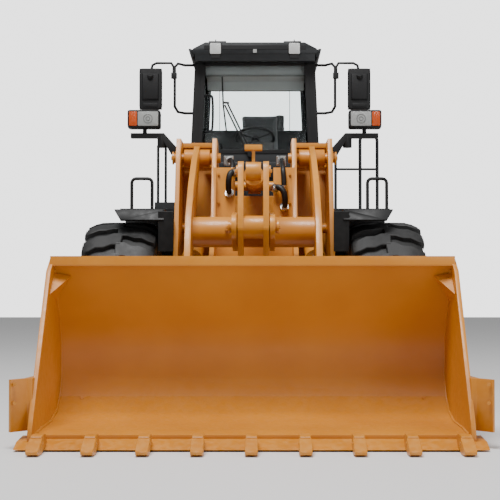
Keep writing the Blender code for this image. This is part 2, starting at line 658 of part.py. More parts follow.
def engine_block():
    return box(-0.33, 0.33, 1.75, 2.85, RAIL_TOP + GAP, 2.05)


def exhaust_stack():
    x, y, neck = 0.28, 2.15, HOOD_TOP + 0.16
    return fuse([bar((x, y, HOOD_TOP + GAP), (x, y, neck), 0.075, 20),
                 bar((x, y, neck - 0.02), (x, y, STACK_TOP), 0.05, 20)])


def rear_fender(side):
    top = AXLE_Z + TYRE_RADIUS + 0.10
    outer = [(REAR_AXLE_Y + y, top - drop) for y, drop in
             ((-0.77, 0.18), (-0.67, 0.04), (-0.55, 0), (0.55, 0), (0.77, 0.10), (0.93, 0.36))]
    inner = [(y + (FENDER_SHEET if y < REAR_AXLE_Y else -FENDER_SHEET), z - FENDER_SHEET)
             for y, z in reversed(outer)]
    made = prism_x(outer + inner, HOOD_HALF + GAP, TRACK / 2 + 0.285)
    return made if side > 0 else mirrored(made)


def platform(side):
    """Deck beside the cab, its ladder in front of the rear wheel and its handrails."""
    inner = CAB_HALF + GAP
    deck = box(inner, DECK_OUT, 0.02, 1.34, DECK_TOP - DECK_THICK, DECK_TOP)
    beam = REAR_PLATE_X + PLATE / 2 + GAP
    solids = [deck, box(beam, inner + 0.05, 0.285, 0.355, 1.30, DECK_TOP - DECK_THICK + 0.01)]
    x = DECK_OUT - 0.02
    for y in (0.40, 0.80):
        solids.append(box(x - 0.03, x + 0.01, y - 0.012, y + 0.012, 0.50, DECK_TOP - 0.01))
    for z in (0.52, 0.83, 1.14, 1.45):
        solids.append(box(x - 0.16, x + 0.012, 0.385, 0.815, z - 0.015, z + 0.015))
    foot = DECK_TOP - 0.02
    if side > 0:
        solids.append(pipe(hoop_line(1.074, 1.249, RAIL_Y, foot, 2.60, 0.05), RAIL_RADIUS))
        solids.append(bar((0.823, RAIL_Y, foot), (0.823, RAIL_Y, 2.45), RAIL_RADIUS * 0.9, 10))
        solids.append(bar((0.823, RAIL_Y, 2.255), (1.249, RAIL_Y, 2.255), RAIL_RADIUS * 0.7, 8))
    else:
        solids.append(pipe(hoop_line(0.915, 0.993, RAIL_Y, foot, 2.52, 0.03), RAIL_RADIUS * 0.8))
        solids.append(box(inner + 0.115, inner + 0.34, 0.05, 0.30, DECK_TOP - 0.01, DECK_TOP + 0.065))
    made = fuse(solids)
    return made if side > 0 else mirrored(made)


def tank(side):
    top = DECK_TOP - DECK_THICK - GAP
    made = prism_y([(0.68, 0.66), (1.06, 0.66), (1.12, 0.72), (1.12, top), (0.68, top)], 0.38, 0.80)
    return made if side > 0 else mirrored(made)


# ---- cab -----------------------------------------------------------------------------------------------
def cab_side(z):
    """The cab's half width at a height."""
    return CAB_HALF - (CAB_HALF - CAB_TOP_HALF) * (z - CAB_FLOOR) / (CAB_TOP - CAB_FLOOR)


def tapered(obj):
    """Leans a solid that was built between upright walls to the cab's narrowing sides."""
    for vert in obj.data.vertices:
        vert.co.x *= cab_side(vert.co.z) / CAB_HALF
    return obj


CAB_DOOR = {"y0": 0.42, "y1": 1.22, "z0": 1.85, "z1": 3.28}
CAB_DOOR_PANE = {"y0": 0.49, "y1": 1.15, "z0": 2.15, "z1": 3.21}
QUARTER = {"y0": 0.03, "y1": 0.36, "z0": 2.20, "z1": 3.26}
SCREEN = {"half": 0.585, "z0": 2.38, "z1": 3.28}
WHEEL_CENTRE = (0, 0.30, 2.57)
WHEEL_LEAN = radians(25)
REAR_PANE = {"half": 0.56, "z0": 2.30, "z1": 3.24}


def cab_frame():
    shell = box(-CAB_HALF, CAB_HALF, CAB_FRONT, CAB_REAR, CAB_FLOOR, CAB_TOP)
    inside = CAB_HALF - WALL
    hollow = box(-inside, inside, CAB_FRONT + WALL, CAB_REAR - WALL, CAB_FLOOR + 0.05, CAB_TOP + 0.1)
    doors = box(-1, 1, CAB_DOOR["y0"], CAB_DOOR["y1"], CAB_DOOR["z0"], CAB_DOOR["z1"])
    quarters = box(-1, 1, QUARTER["y0"], QUARTER["y1"], QUARTER["z0"], QUARTER["z1"])
    front = box(-SCREEN["half"], SCREEN["half"], CAB_FRONT - 0.1, CAB_FRONT + WALL + 0.01, SCREEN["z0"],
                SCREEN["z1"])
    rear = box(-REAR_PANE["half"], REAR_PANE["half"], CAB_REAR - WALL - 0.01, CAB_REAR + 0.1, REAR_PANE["z0"],
               REAR_PANE["z1"])
    cab = tapered(fuse([shell], [hollow, doors, quarters, front, rear]))
    feet = [box(s * REAR_PLATE_X - 0.06, s * REAR_PLATE_X + 0.06, 0.53, 0.67, FRAME_PEAK + GAP,
                CAB_FLOOR + 0.01) for s in (-1, 1)]
    return fuse([cab] + feet)


def cab_roof():
    """Roof shell with a visor in front, a pad over each roof lamp and a rain gutter on each side."""
    front, rear = CAB_FRONT - VISOR_REACH, CAB_REAR + 0.08
    base = CAB_TOP + GAP
    across = [(-0.60, base), (0.60, base), (ROOF_HALF, base + 0.03), (ROOF_HALF - 0.02, ROOF_TOP - 0.06),
              (0.49, ROOF_TOP), (-0.49, ROOF_TOP), (0.02 - ROOF_HALF, ROOF_TOP - 0.06),
              (-ROOF_HALF, base + 0.03)]
    solids = [prism_y(across, front, rear)]
    solids.append(box(-0.592, 0.592, front + 0.002, CAB_FRONT - GAP, VISOR_LOW, base + 0.02))
    for side in (-1, 1):
        pad = [(front + 0.001, ROOF_TOP - 0.03), (front + 0.02, LAMP_PAD_TOP - 0.01),
               (front + 0.06, LAMP_PAD_TOP), (front + 0.18, LAMP_PAD_TOP), (front + 0.38, ROOF_TOP - 0.03)]
        solids.append(prism_x(pad, side * LAMP_PAD_X - 0.085, side * LAMP_PAD_X + 0.085))
        gutter = [(0.595, base + 0.002), (0.605, base - 0.03), (0.62, base - 0.03), (0.655, base + 0.05),
                  (0.64, base + 0.055), (0.615, base + 0.045)]
        solids.append(prism_y([(side * x, z) for x, z in gutter], front + 0.01, rear - 0.01))
    slope = prism_x([(rear - 0.12, ROOF_TOP + 0.01), (rear + 0.01, ROOF_TOP + 0.01),
                     (rear + 0.01, base + 0.06)], -1, 1)
    return fuse(solids, [slope])


def cab_door(side):
    g = DOOR_GAP
    panel = box(CAB_HALF - 0.05, CAB_HALF, CAB_DOOR["y0"] + g, CAB_DOOR["y1"] - HINGE_GAP,
                CAB_DOOR["z0"] + g, CAB_DOOR["z1"] - g)
    hole = box(0.4, 1, CAB_DOOR_PANE["y0"], CAB_DOOR_PANE["y1"], CAB_DOOR_PANE["z0"], CAB_DOOR_PANE["z1"])
    made = tapered(fuse([panel], [hole]))
    return made if side > 0 else mirrored(made)


def door_pane(side):
    g = GAP
    made = tapered(box(CAB_HALF - 0.03, CAB_HALF - 0.022, CAB_DOOR_PANE["y0"] + g, CAB_DOOR_PANE["y1"] - g,
                       CAB_DOOR_PANE["z0"] + g, CAB_DOOR_PANE["z1"] - g))
    return made if side > 0 else mirrored(made)


def quarter_pane(side):
    made = tapered(box(CAB_HALF - 0.03, CAB_HALF - 0.022, QUARTER["y0"] + GAP, QUARTER["y1"] - GAP,
                       QUARTER["z0"] + GAP, QUARTER["z1"] - GAP))
    return made if side > 0 else mirrored(made)


def screen_pane(cut, y):
    return tapered(box(-cut["half"] + GAP, cut["half"] - GAP, y, y + 0.008, cut["z0"] + GAP, cut["z1"] - GAP))


def seat():
    floor = CAB_FLOOR + 0.05 + GAP
    base = box(-0.18, 0.18, 0.52, 0.92, floor, 2.22)
    cushion = box(-0.25, 0.25, 0.42, 0.95, 2.20, 2.33)
    back = prism_x([(0.86, 2.30), (0.98, 2.30), (1.06, 2.88), (0.96, 2.88)], -0.245, 0.245)
    return fuse([base, cushion, back])


def dashboard():
    floor = CAB_FLOOR + 0.05 + GAP
    column = prism_x([(0.08, floor), (0.26, floor), (0.22, 2.44), (0.12, 2.44)], -0.10, 0.10)
    hood = prism_x([(0.06, 2.30), (0.24, 2.34), (0.22, 2.50), (0.10, 2.50)], -0.19, 0.19)
    axis = Vector((0, sin(WHEEL_LEAN), cos(WHEEL_LEAN)))
    centre = Vector(WHEEL_CENTRE)
    shaft = bar(centre - axis * 0.20, centre - axis * (0.03 + GAP), 0.025, 12)
    return fuse([column, hood, shaft])


def steering_wheel():
    centre = Vector(WHEEL_CENTRE)
    tilt = Matrix.Rotation(-WHEEL_LEAN, 4, "X")
    bm = bmesh.new()
    ring = bmesh.ops.create_circle(bm, segments=8, radius=0.016, matrix=Matrix.Translation((0.19, 0, 0))
                                   @ Matrix.Rotation(radians(90), 4, "X"))
    edges = list({edge for vert in ring["verts"] for edge in vert.link_edges})
    bmesh.ops.spin(bm, geom=ring["verts"] + edges, cent=(0, 0, 0), axis=(0, 0, 1), angle=2 * pi, steps=20,
                   use_merge=True)
    solids = [to_object(bm), bar((0, 0, -0.03), (0, 0, 0.012), 0.04, 16)]
    for angle in (90, 210, 330):
        x, y = cos(radians(angle)), sin(radians(angle))
        solids.append(bar((0.02 * x, 0.02 * y, -0.005), (0.19 * x, 0.19 * y, -0.005), 0.01, 8))
    made = fuse(solids)
    made.data.transform(Matrix.Translation(centre) @ tilt)
    return made


def mirror(side):
    """Mirror head on a bent arm that is clamped on the bracket beside the windscreen."""
    high, low, out, y = 3.257, 2.777, 0.79, -0.115
    bracket = pipe([(cab_side(high) + 0.001, 0.0, high), (0.70, 0.0, high), (out - 0.03, -0.09, high),
                    (out, y, high - 0.04), (out, y, low + 0.05), (out - 0.03, -0.09, low), (0.70, 0.0, low),
                    (cab_side(low) + 0.001, 0.0, low)], 0.0135)
    arm = pipe([(out + 0.012, y, 3.10), (out + 0.012, y, 3.22), (out + 0.035, y, 3.257), (0.97, y, 3.257),
                (1.01, y - 0.005, 3.235), (1.025, y - 0.01, 3.17)], 0.0125)
    clamp = box(out - 0.02, out + 0.035, y - 0.022, y + 0.022, 3.105, 3.16)
    head = box(MIRROR_X - MIRROR_WIDTH / 2, MIRROR_X + MIRROR_WIDTH / 2, y - 0.045, y + 0.015, 2.797, 3.195)
    made = fuse([bracket, arm, clamp, head])
    return made if side > 0 else mirrored(made)


def headlamp(side):
    """Lamp box on its bracket plate, which is bolted on the tower's outer plate."""
    x0 = TOWER_OUT + PLATE / 2 + GAP
    plate = prism_y([(x0, 2.20), (x0, 2.32), (0.84, 2.476), (1.148, 2.476), (1.148, 2.432), (0.862, 2.432),
                     (x0 + 0.05, 2.24)], -0.80, -0.72)
    boss = bar((0.862, -0.76, 2.345), (0.862, -0.76, 2.45), 0.042, 12)
    stem = bar((1.02, -0.76, 2.45), (1.02, -0.76, 2.54), 0.02, 10)
    lamp = box(0.877, 1.172, -0.83, -0.70, 2.525, 2.683)
    made = fuse([plate, boss, stem, lamp])
    return made if side > 0 else mirrored(made)


# ---- assembly ------------------------------------------------------------------------------------------
def main():
    clear_scene()
    root = (0, 0, 0)
    body("rear_body", None, root)
    body("front_body", "rear_body", root)
    sides = (("left", 1), ("right", -1))
    for end, y, on in (("front", FRONT_AXLE_Y, "front_body"), ("rear", REAR_AXLE_Y, "rear_body")):
        for name, side in sides:
            wheel = f"{end}_wheel_{name}"
            body(wheel, on, (side * TRACK / 2, y, AXLE_Z))
            node(f"{end}_tyre_{name}", tyre(side, y), wheel, "rubber")
            node(f"{end}_rim_{name}", rim(side, y), wheel, "paint")
    node("front_frame", front_frame(), "front_body", "paint")
    node("front_axle", axle(FRONT_AXLE_Y, TOWER_IN, FRAME_UNDER - GAP, 0.12), "front_body", "paint")
    body("boom", "front_body", (0, *BOOM_PIN))
    node("boom", boom(), "boom", "paint")
    body("bellcrank", "boom", (0, *CRANK_PIN))
    node("bellcrank", bellcrank(), "bellcrank", "paint")
    body("tilt_link", "bellcrank", (0, *CRANK_LOW))
    node("tilt_link", tilt_link(), "tilt_link", "paint")
    body("bucket", "boom", (0, *BUCKET_PIN))
    node("bucket", bucket(), "bucket", "paint")
    node("cutting_edge", cutting_edge(), "bucket", "paint")

    body("tilt_barrel", "front_body", (0, *TILT_BASE))
    body("tilt_rod", "tilt_barrel", (0, *CRANK_TOP))
    barrel, rod = ram((0, *TILT_BASE), (0, *CRANK_TOP), 1.30, 0.42, (0.08, 0.045), 0.075, 0.06, PIN_RADIUS,
                      (1, 0, 0))
    node("tilt_cylinder_barrel", barrel, "tilt_barrel", "paint")
    node("tilt_cylinder_rod", fuse([rod] + rod_guard(CRANK_TOP)), "tilt_rod", "chrome")
    for name, side in sides:
        body(f"lift_barrel_{name}", "front_body", (side * BOOM_X, *LIFT_BASE))
        body(f"lift_rod_{name}", f"lift_barrel_{name}", (side * BOOM_X, *LIFT_EYE))
        barrel, rod = lift_ram(side)
        node(f"lift_cylinder_barrel_{name}", barrel, f"lift_barrel_{name}", "paint")
        node(f"lift_cylinder_rod_{name}", rod, f"lift_rod_{name}", "chrome")
        base = (side * STEER_BASE[0], STEER_BASE[1], STEER_Z)
        eye = (side * STEER_EYE[0], STEER_EYE[1], STEER_Z)
        body(f"steer_barrel_{name}", "rear_body", base)
        body(f"steer_rod_{name}", f"steer_barrel_{name}", eye)
        barrel, rod = ram(base, eye, 0.785, 0.46, (STEER_BARREL, STEER_ROD), 0.05, 0.035, STEER_PIN,
                          (0, 0, 1))
        node(f"steer_cylinder_barrel_{name}", barrel, f"steer_barrel_{name}", "paint")
        node(f"steer_cylinder_rod_{name}", rod, f"steer_rod_{name}", "chrome")
        node(f"front_fender_{name}", front_fender(side), "front_body", "black")
        node(f"headlamp_{name}", headlamp(side), "front_body", "black")

    node("rear_frame", rear_frame(), "rear_body", "paint")
    node("rear_axle", axle(REAR_AXLE_Y, REAR_PLATE_X, FRAME_UNDER - GAP, 0.12), "rear_body", "paint")
    node("engine_block", engine_block(), "rear_body", "iron")
    node("engine_hood", engine_hood(), "rear_body", "paint")
    node("counterweight", counterweight(), "rear_body", "paint")
    node("exhaust_stack", exhaust_stack(), "rear_body", "black")
    body("rear_grille", "rear_body", (GRILLE["half"] - HINGE_GAP, HOOD_REAR, GRILLE["z0"]))
    node("rear_grille", rear_grille(), "rear_grille", "charcoal")
    node("cab_frame", cab_frame(), "rear_body", "charcoal")
    node("cab_roof", cab_roof(), "rear_body", "charcoal")
    node("windscreen", screen_pane(SCREEN, CAB_FRONT + 0.02), "rear_body", "glass")
    node("rear_glass", screen_pane(REAR_PANE, CAB_REAR - 0.03), "rear_body", "glass")
    node("seat", seat(), "rear_body", "seat")
    node("dashboard", dashboard(), "rear_body", "black")
    node("steering_wheel", steering_wheel(), "rear_body", "black")
    node("fuel_tank", tank(1), "rear_body", "charcoal")
    node("hydraulic_tank", tank(-1), "rear_body", "charcoal")
    for name, side in sides:
        body(f"engine_door_{name}", "rear_body",
             (side * HOOD_HALF, SIDE_DOOR["y0"], SIDE_DOOR["z1"] - HINGE_GAP))
        node(f"engine_door_{name}", engine_door(side), f"engine_door_{name}", "paint")
        body(f"cab_door_{name}", "rear_body", (side * CAB_HALF, CAB_DOOR["y1"] - HINGE_GAP, CAB_FLOOR))
        node(f"cab_door_{name}", cab_door(side), f"cab_door_{name}", "charcoal")
        node(f"quarter_glass_{name}", quarter_pane(side), "rear_body", "glass")
        node(f"door_glass_{name}", door_pane(side), f"cab_door_{name}", "glass")
        node(f"platform_{name}", platform(side), "rear_body", "charcoal")
        node(f"rear_fender_{name}", rear_fender(side), "rear_body", "paint")
        node(f"mirror_{name}", mirror(side), "rear_body", "black")


main()
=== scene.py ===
import bpy
import bmesh
import json
from math import cos, pi, radians, sin
from mathutils import Matrix, Vector


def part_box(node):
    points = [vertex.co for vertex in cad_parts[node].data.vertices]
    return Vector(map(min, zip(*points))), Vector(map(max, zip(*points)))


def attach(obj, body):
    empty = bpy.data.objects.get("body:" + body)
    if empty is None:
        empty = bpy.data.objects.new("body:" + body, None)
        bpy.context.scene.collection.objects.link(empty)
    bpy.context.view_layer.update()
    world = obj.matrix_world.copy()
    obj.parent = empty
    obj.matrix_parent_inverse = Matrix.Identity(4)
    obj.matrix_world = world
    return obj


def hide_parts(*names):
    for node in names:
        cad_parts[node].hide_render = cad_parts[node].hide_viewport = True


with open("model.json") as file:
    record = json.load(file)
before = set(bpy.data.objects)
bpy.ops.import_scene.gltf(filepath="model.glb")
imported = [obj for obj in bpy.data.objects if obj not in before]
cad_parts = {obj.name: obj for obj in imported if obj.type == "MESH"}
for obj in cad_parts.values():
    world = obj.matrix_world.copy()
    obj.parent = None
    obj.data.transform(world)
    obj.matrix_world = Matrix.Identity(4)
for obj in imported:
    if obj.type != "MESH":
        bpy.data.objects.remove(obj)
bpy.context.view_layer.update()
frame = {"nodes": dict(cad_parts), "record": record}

nodes = frame["nodes"]
bodyOf = {n: b for b, names in frame["record"]["behaviour"]["bodies"].items() for n in names}
jointAt = {j["name"]: Vector(j["pos_m"]) for j in frame["record"]["behaviour"]["joints"] if "pos_m" in
        j}
hinge = jointAt["articulation"]  # depths below are counted from the frame's hinge pin
sides = (("left", 1), ("right", -1))


def at(x, y, z):
    return Vector((x, hinge.y + y, z))


# mesh helpers
def linked(name, data):
    obj = bpy.data.objects.new(name, data)
    bpy.context.scene.collection.objects.link(obj)
    return obj


def objectFrom(name, bm, mat, crease=32):
    bmesh.ops.remove_doubles(bm, verts=bm.verts, dist=1e-5)
    mesh = bpy.data.meshes.new(name)
    bm.to_mesh(mesh)
    bm.free()
    obj = linked(name, mesh)
    mesh.materials.append(mat)
    mesh.shade_smooth()
    mesh.set_sharp_from_angle(angle=radians(crease))
    return obj


def baked(obj):
    # the evaluated shape becomes the object's own plain mesh
    graph = bpy.context.evaluated_depsgraph_get()
    graph.update()
    mesh = bpy.data.meshes.new_from_object(obj.evaluated_get(graph))
    obj.modifiers.clear()
    obj.data = mesh
    return obj


def rounded(obj, width, segments=2, angle=30, crease=32):
    bevel = obj.modifiers.new("round edges", "BEVEL")
    bevel.width = width
    bevel.segments = segments
    bevel.limit_method = "ANGLE"
    bevel.angle_limit = radians(angle)
    bevel.use_clamp_overlap = True
    bevel.miter_outer = "MITER_ARC"
    bevel.harden_normals = False
    baked(obj)
    obj.data.shade_smooth()
    obj.data.set_sharp_from_angle(angle=radians(crease))
    return obj


def addBox(bm, x0, x1, y0, y1, z0, z1):
    made = bmesh.ops.create_cube(bm, size=1)["verts"]
    for v in made:
        v.co = Vector(((x0 + x1) / 2 + v.co.x * (x1 - x0), (y0 + y1) / 2 + v.co.y * (y1 - y0),
                (z0 + z1) / 2 + v.co.z * (z1 - z0)))
    return made


def addRod(bm, start, end, radius, sides=16, endRadius=None):
    start, end = Vector(start), Vector(end)
    turn = (end - start).to_track_quat("Z", "Y").to_matrix().to_4x4()
    return bmesh.ops.create_cone(bm, cap_ends=True, segments=sides, radius1=radius,
            radius2=radius if endRadius is None else endRadius, depth=(end - start).length,
            matrix=Matrix.Translation((start + end) / 2) @ turn)["verts"]


def addLoft(bm, rings, first=True, last=True, closed=False):
    # rings of points joined by quads; the end rings become faces unless left open
    rows = [[bm.verts.new(p) for p in ring] for ring in rings]
    count = len(rows[0])
    for a, b in list(zip(rows, rows[1:])) + ([(rows[-1], rows[0])] if closed else []):
        for k in range(count):
            bm.faces.new((a[k], a[(k + 1) % count], b[(k + 1) % count], b[k]))
    if first and not closed:
        bm.faces.new(rows[0][::-1])
    if last and not closed:
        bm.faces.new(rows[-1])


def addTube(bm, points, radius, sides=10, closed=False):
    # a bent tube of round section whose rings turn with the line
    points = [Vector(p) for p in points]
    count = len(points)
    rings, side = [], None
    for i, p in enumerate(points):
        before = points[i - 1] if i or closed else p
        after = points[(i + 1) % count] if i < count - 1 or closed else p
        along = (after - before).normalized()
        if side is None:
            side = along.orthogonal().normalized()
        side = (side - along * side.dot(along)).normalized()
        up = along.cross(side)
        turns = [2 * pi * k / sides for k in range(sides)]
        rings.append([p + radius * (side * cos(a) + up * sin(a)) for a in turns])
    addLoft(bm, rings, closed=closed)


def curveThrough(points, steps=6):
    # a smooth line through a few points
    points = [Vector(p) for p in points]
    ends = [2 * points[0] - points[1]] + points + [2 * points[-1] - points[-2]]
    line = []
    for a, b, c, d in zip(ends, ends[1:], ends[2:], ends[3:]):
        for i in range(steps):
            t = i / steps
            line.append(0.5 * (2 * b + (c - a) * t + (2 * a - 5 * b + 4 * c - d) * t * t +
                    (3 * b - a - 3 * c + d) * t ** 3))
    return line + [points[-1]]


def addPlate(bm, outline, low, high, place):
    # a flat outline drawn out between two distances; place turns (u, v, w) into a point
    face = bm.faces.new([bm.verts.new(place(u, v, low)) for u, v in outline])
    grown = bmesh.ops.extrude_face_region(bm, geom=[face])
    step = Vector(place(0, 0, high)) - Vector(place(0, 0, low))
    verts = [g for g in grown["geom"] if isinstance(g, bmesh.types.BMVert)]
    bmesh.ops.translate(bm, vec=step, verts=verts)
    return verts


def addTurned(bm, profile, centre, sides=48, closed=False):
    # spins (x, radius) points about the line along X through the centre
    rows = []
    for k in range(sides):
        a = 2 * pi * k / sides
        rows.append([bm.verts.new((centre[0] + x, centre[1] + r * sin(a), centre[2] + r * cos(a)))
                for x, r in profile])
    n = len(profile)
    for k in range(sides):
        a, b = rows[k], rows[(k + 1) % sides]
        for i in range(n if closed else n - 1):
            j = (i + 1) % n
            bm.faces.new((a[i], a[j], b[j], b[i]))


def facingOut(bm):
    bmesh.ops.remove_doubles(bm, verts=bm.verts, dist=1e-5)
    bmesh.ops.recalc_face_normals(bm, faces=bm.faces)


def piece(name, bm, mat, crease=30, width=0.0, segments=2):
    # closes a mesh into an object and rounds its edges where a width is given
    facingOut(bm)
    obj = objectFrom(name, bm, mat, crease)
    return rounded(obj, width, segments) if width else obj


def acrossX(u, v, w):
    return (w, hinge.y + u, v)


def acrossY(u, v, w):
    return (u, hinge.y + w, v)


# geometry node trees
def addSockets(tree, inputs, outputs):
    # a socket's type follows from its first value
    for direction, values in (("INPUT", inputs), ("OUTPUT", outputs)):
        for label, value in values.items():
            kind = {float: "Float", int: "Int", str: value, type(None): "Material"}.get(type(value))
            kind = kind or ("Color" if len(value) == 4 else "Vector")
            socket = tree.interface.new_socket(label, in_out=direction, socket_type="NodeSocket" + kind)
            if value is not None and not isinstance(value, str) and direction == "INPUT":
                socket.default_value = value
    return tree, tree.nodes.new("NodeGroupInput"), tree.nodes.new("NodeGroupOutput")


def newTree(name, inputs):
    tree = bpy.data.node_groups.new(name, "GeometryNodeTree")
    tree.is_modifier = True
    return addSockets(tree, {"Geometry": "Geometry", **inputs}, {"Geometry": "Geometry"})


def addNodes(tree, *kinds):
    # one node per type; "type:OPERATION" also sets what it works out
    made = []
    for kind in kinds:
        name, _, operation = kind.partition(":")
        made.append(tree.nodes.new(name))
        if operation:
            made[-1].operation = operation
    return made


def wire(tree, *pairs):
    # links, each given as node, output, node, input
    for first, outlet, second, inlet in pairs:
        tree.links.new(first.outputs[outlet], second.inputs[inlet])


def rowTree():
    # copies in a straight row, Step apart
    tree, source, out = newTree("rowOfCopies", {"Count": 5, "Step": (0.1, 0, 0), "Finish": None})
    points, index, shift, place, copies, real, coat = addNodes(tree, "GeometryNodePoints",
            "GeometryNodeInputIndex", "ShaderNodeVectorMath:SCALE", "GeometryNodeSetPosition",
            "GeometryNodeInstanceOnPoints", "GeometryNodeRealizeInstances", "GeometryNodeSetMaterial")
    wire(tree, (source, "Count", points, "Count"), (source, "Step", shift, 0),
            (index, 0, shift, "Scale"), (points, 0, place, "Geometry"), (shift, 0, place, "Position"),
            (place, 0, copies, "Points"), (source, "Geometry", copies, "Instance"),
            (copies, 0, real, 0), (real, 0, coat, "Geometry"), (source, "Finish", coat, "Material"),
            (coat, 0, out, 0))
    return tree


def ringTree():
    # copies turned about an axis through the Centre
    tree, source, out = newTree("ringOfCopies",
            {"Count": 8, "Centre": (0, 0, 0), "Axis": (1, 0, 0), "Finish": None})
    points, index, share, angle, turn, minus, inward, copies, outward, real, coat = addNodes(tree,
            "GeometryNodePoints", "GeometryNodeInputIndex", "ShaderNodeMath:DIVIDE",
            "ShaderNodeMath:MULTIPLY", "ShaderNodeVectorMath:SCALE", "ShaderNodeVectorMath:SCALE",
            "GeometryNodeTransform", "GeometryNodeInstanceOnPoints", "GeometryNodeTransform",
            "GeometryNodeRealizeInstances", "GeometryNodeSetMaterial")
    angle.inputs[1].default_value = 2 * pi
    minus.inputs["Scale"].default_value = -1
    wire(tree, (source, "Count", points, "Count"), (index, 0, share, 0), (source, "Count", share, 1),
            (share, 0, angle, 0), (source, "Axis", turn, 0), (angle, 0, turn, "Scale"),
            (source, "Centre", minus, 0), (source, "Geometry", inward, "Geometry"),
            (minus, 0, inward, "Translation"), (points, 0, copies, "Points"),
            (inward, 0, copies, "Instance"), (turn, 0, copies, "Rotation"),
            (copies, 0, outward, "Geometry"), (source, "Centre", outward, "Translation"),
            (outward, 0, real, 0), (real, 0, coat, "Geometry"), (source, "Finish", coat, "Material"),
            (coat, 0, out, 0))
    return tree


copyRow, copyRing = rowTree(), ringTree()


def repeated(obj, tree, **values):
    # runs a tree on the object and keeps the result as a plain mesh
    change = obj.modifiers.new("copies", "NODES")
    change.node_group = tree
    ids = {item.name: item.identifier for item in tree.interface.items_tree if item.in_out == "INPUT"}
    for label, value in values.items():
        change[ids[label]] = value
    change[ids["Finish"]] = obj.data.materials[0]
    baked(obj)
    return obj


# shader groups
def newGroup(name, inputs, outputs):
    return addSockets(bpy.data.node_groups.new(name, "ShaderNodeTree"), inputs, outputs)


def noiseAt(tree, scale, detail=3.0):
    coord = tree.nodes.new("ShaderNodeTexCoord")
    noise = tree.nodes.new("ShaderNodeTexNoise")
    noise.inputs["Scale"].default_value = scale
    noise.inputs["Detail"].default_value = detail
    tree.links.new(coord.outputs["Object"], noise.inputs["Vector"])
    return noise


def feed(tree, plug, value):
    # a socket is linked, anything else becomes the plug's value
    if isinstance(value, bpy.types.NodeSocket):
        tree.links.new(value, plug)
    else:
        plug.default_value = value


def mixColour(tree, factor, first, second):
    mix = tree.nodes.new("ShaderNodeMix")
    mix.data_type = "RGBA"
    for plug, value in (("Factor", factor), (6, first), (7, second)):
        feed(tree, mix.inputs[plug], value)
    return mix.outputs[2]


def mathNode(tree, operation, first, second, clamp=False):
    made = tree.nodes.new("ShaderNodeMath")
    made.operation = operation
    made.use_clamp = clamp
    feed(tree, made.inputs[0], first)
    feed(tree, made.inputs[1], second)
    return made.outputs[0]


def spread(tree, value, low, high, newLow=0.0, newHigh=1.0):
    made = tree.nodes.new("ShaderNodeMapRange")
    for label, plugValue in (("Value", value), ("From Min", low), ("From Max", high),
            ("To Min", newLow), ("To Max", newHigh)):
        feed(tree, made.inputs[label], plugValue)
    return made.outputs["Result"]


def weatherGroup():
    # slow colour drift, light dust low down and rubbed edges
    tree, source, out = newGroup("weather",
            {"Colour": (0.5, 0.5, 0.5, 1), "Shade": (0.4, 0.4, 0.4, 1), "Edge": (0.6, 0.6, 0.6, 1),
            "Edge Wear": 0.5, "Dust": 0.2, "Dust Top": 1.2, "Roughness": 0.5},
            {"Colour": "Color", "Roughness": "Float"})
    link = tree.links
    slow, fine = noiseAt(tree, 1.7), noiseAt(tree, 23.0, 5.0)
    drift = spread(tree, slow.outputs["Fac"], 0.35, 0.65)
    base = mixColour(tree, drift, source.outputs["Colour"], source.outputs["Shade"])
    geometry = tree.nodes.new("ShaderNodeNewGeometry")
    edge = spread(tree, geometry.outputs["Pointiness"], 0.515, 0.60)
    worn = mathNode(tree, "MULTIPLY", edge, spread(tree, fine.outputs["Fac"], 0.42, 0.62))
    worn = mathNode(tree, "MULTIPLY", worn, source.outputs["Edge Wear"], True)
    base = mixColour(tree, worn, base, source.outputs["Edge"])
    coord = tree.nodes.new("ShaderNodeTexCoord")
    split = tree.nodes.new("ShaderNodeSeparateXYZ")
    link.new(coord.outputs["Object"], split.inputs[0])
    low = spread(tree, split.outputs["Z"], source.outputs["Dust Top"], 0.0)
    dust = mathNode(tree, "MULTIPLY", low, spread(tree, fine.outputs["Fac"], 0.35, 0.7))
    dust = mathNode(tree, "MULTIPLY", dust, source.outputs["Dust"], True)
    base = mixColour(tree, dust, base, (0.30, 0.24, 0.17, 1))
    rough = mathNode(tree, "ADD", source.outputs["Roughness"],
            spread(tree, fine.outputs["Fac"], 0.3, 0.7, -0.06, 0.08))
    rough = mathNode(tree, "ADD", rough, mathNode(tree, "MULTIPLY", dust, 0.35), True)
    link.new(base, out.inputs["Colour"])
    link.new(rough, out.inputs["Roughness"])
    return tree


def grainGroup():
    # the fine height of a surface: sprayed paint, moulded plastic, casting or rubber
    tree, source, out = newGroup("grain", {"Scale": 300.0, "Cells": 0.0}, {"Height": "Float"})
    noise = noiseAt(tree, 1.0, 2.0)
    tree.links.new(source.outputs["Scale"], noise.inputs["Scale"])
    cells = tree.nodes.new("ShaderNodeTexVoronoi")
    coord = tree.nodes.new("ShaderNodeTexCoord")
    tree.links.new(coord.outputs["Object"], cells.inputs["Vector"])
    tree.links.new(source.outputs["Scale"], cells.inputs["Scale"])
    both = mathNode(tree, "ADD", noise.outputs["Fac"],
            mathNode(tree, "MULTIPLY", cells.outputs["Distance"], source.outputs["Cells"]))
    tree.links.new(both, out.inputs["Height"])
    return tree


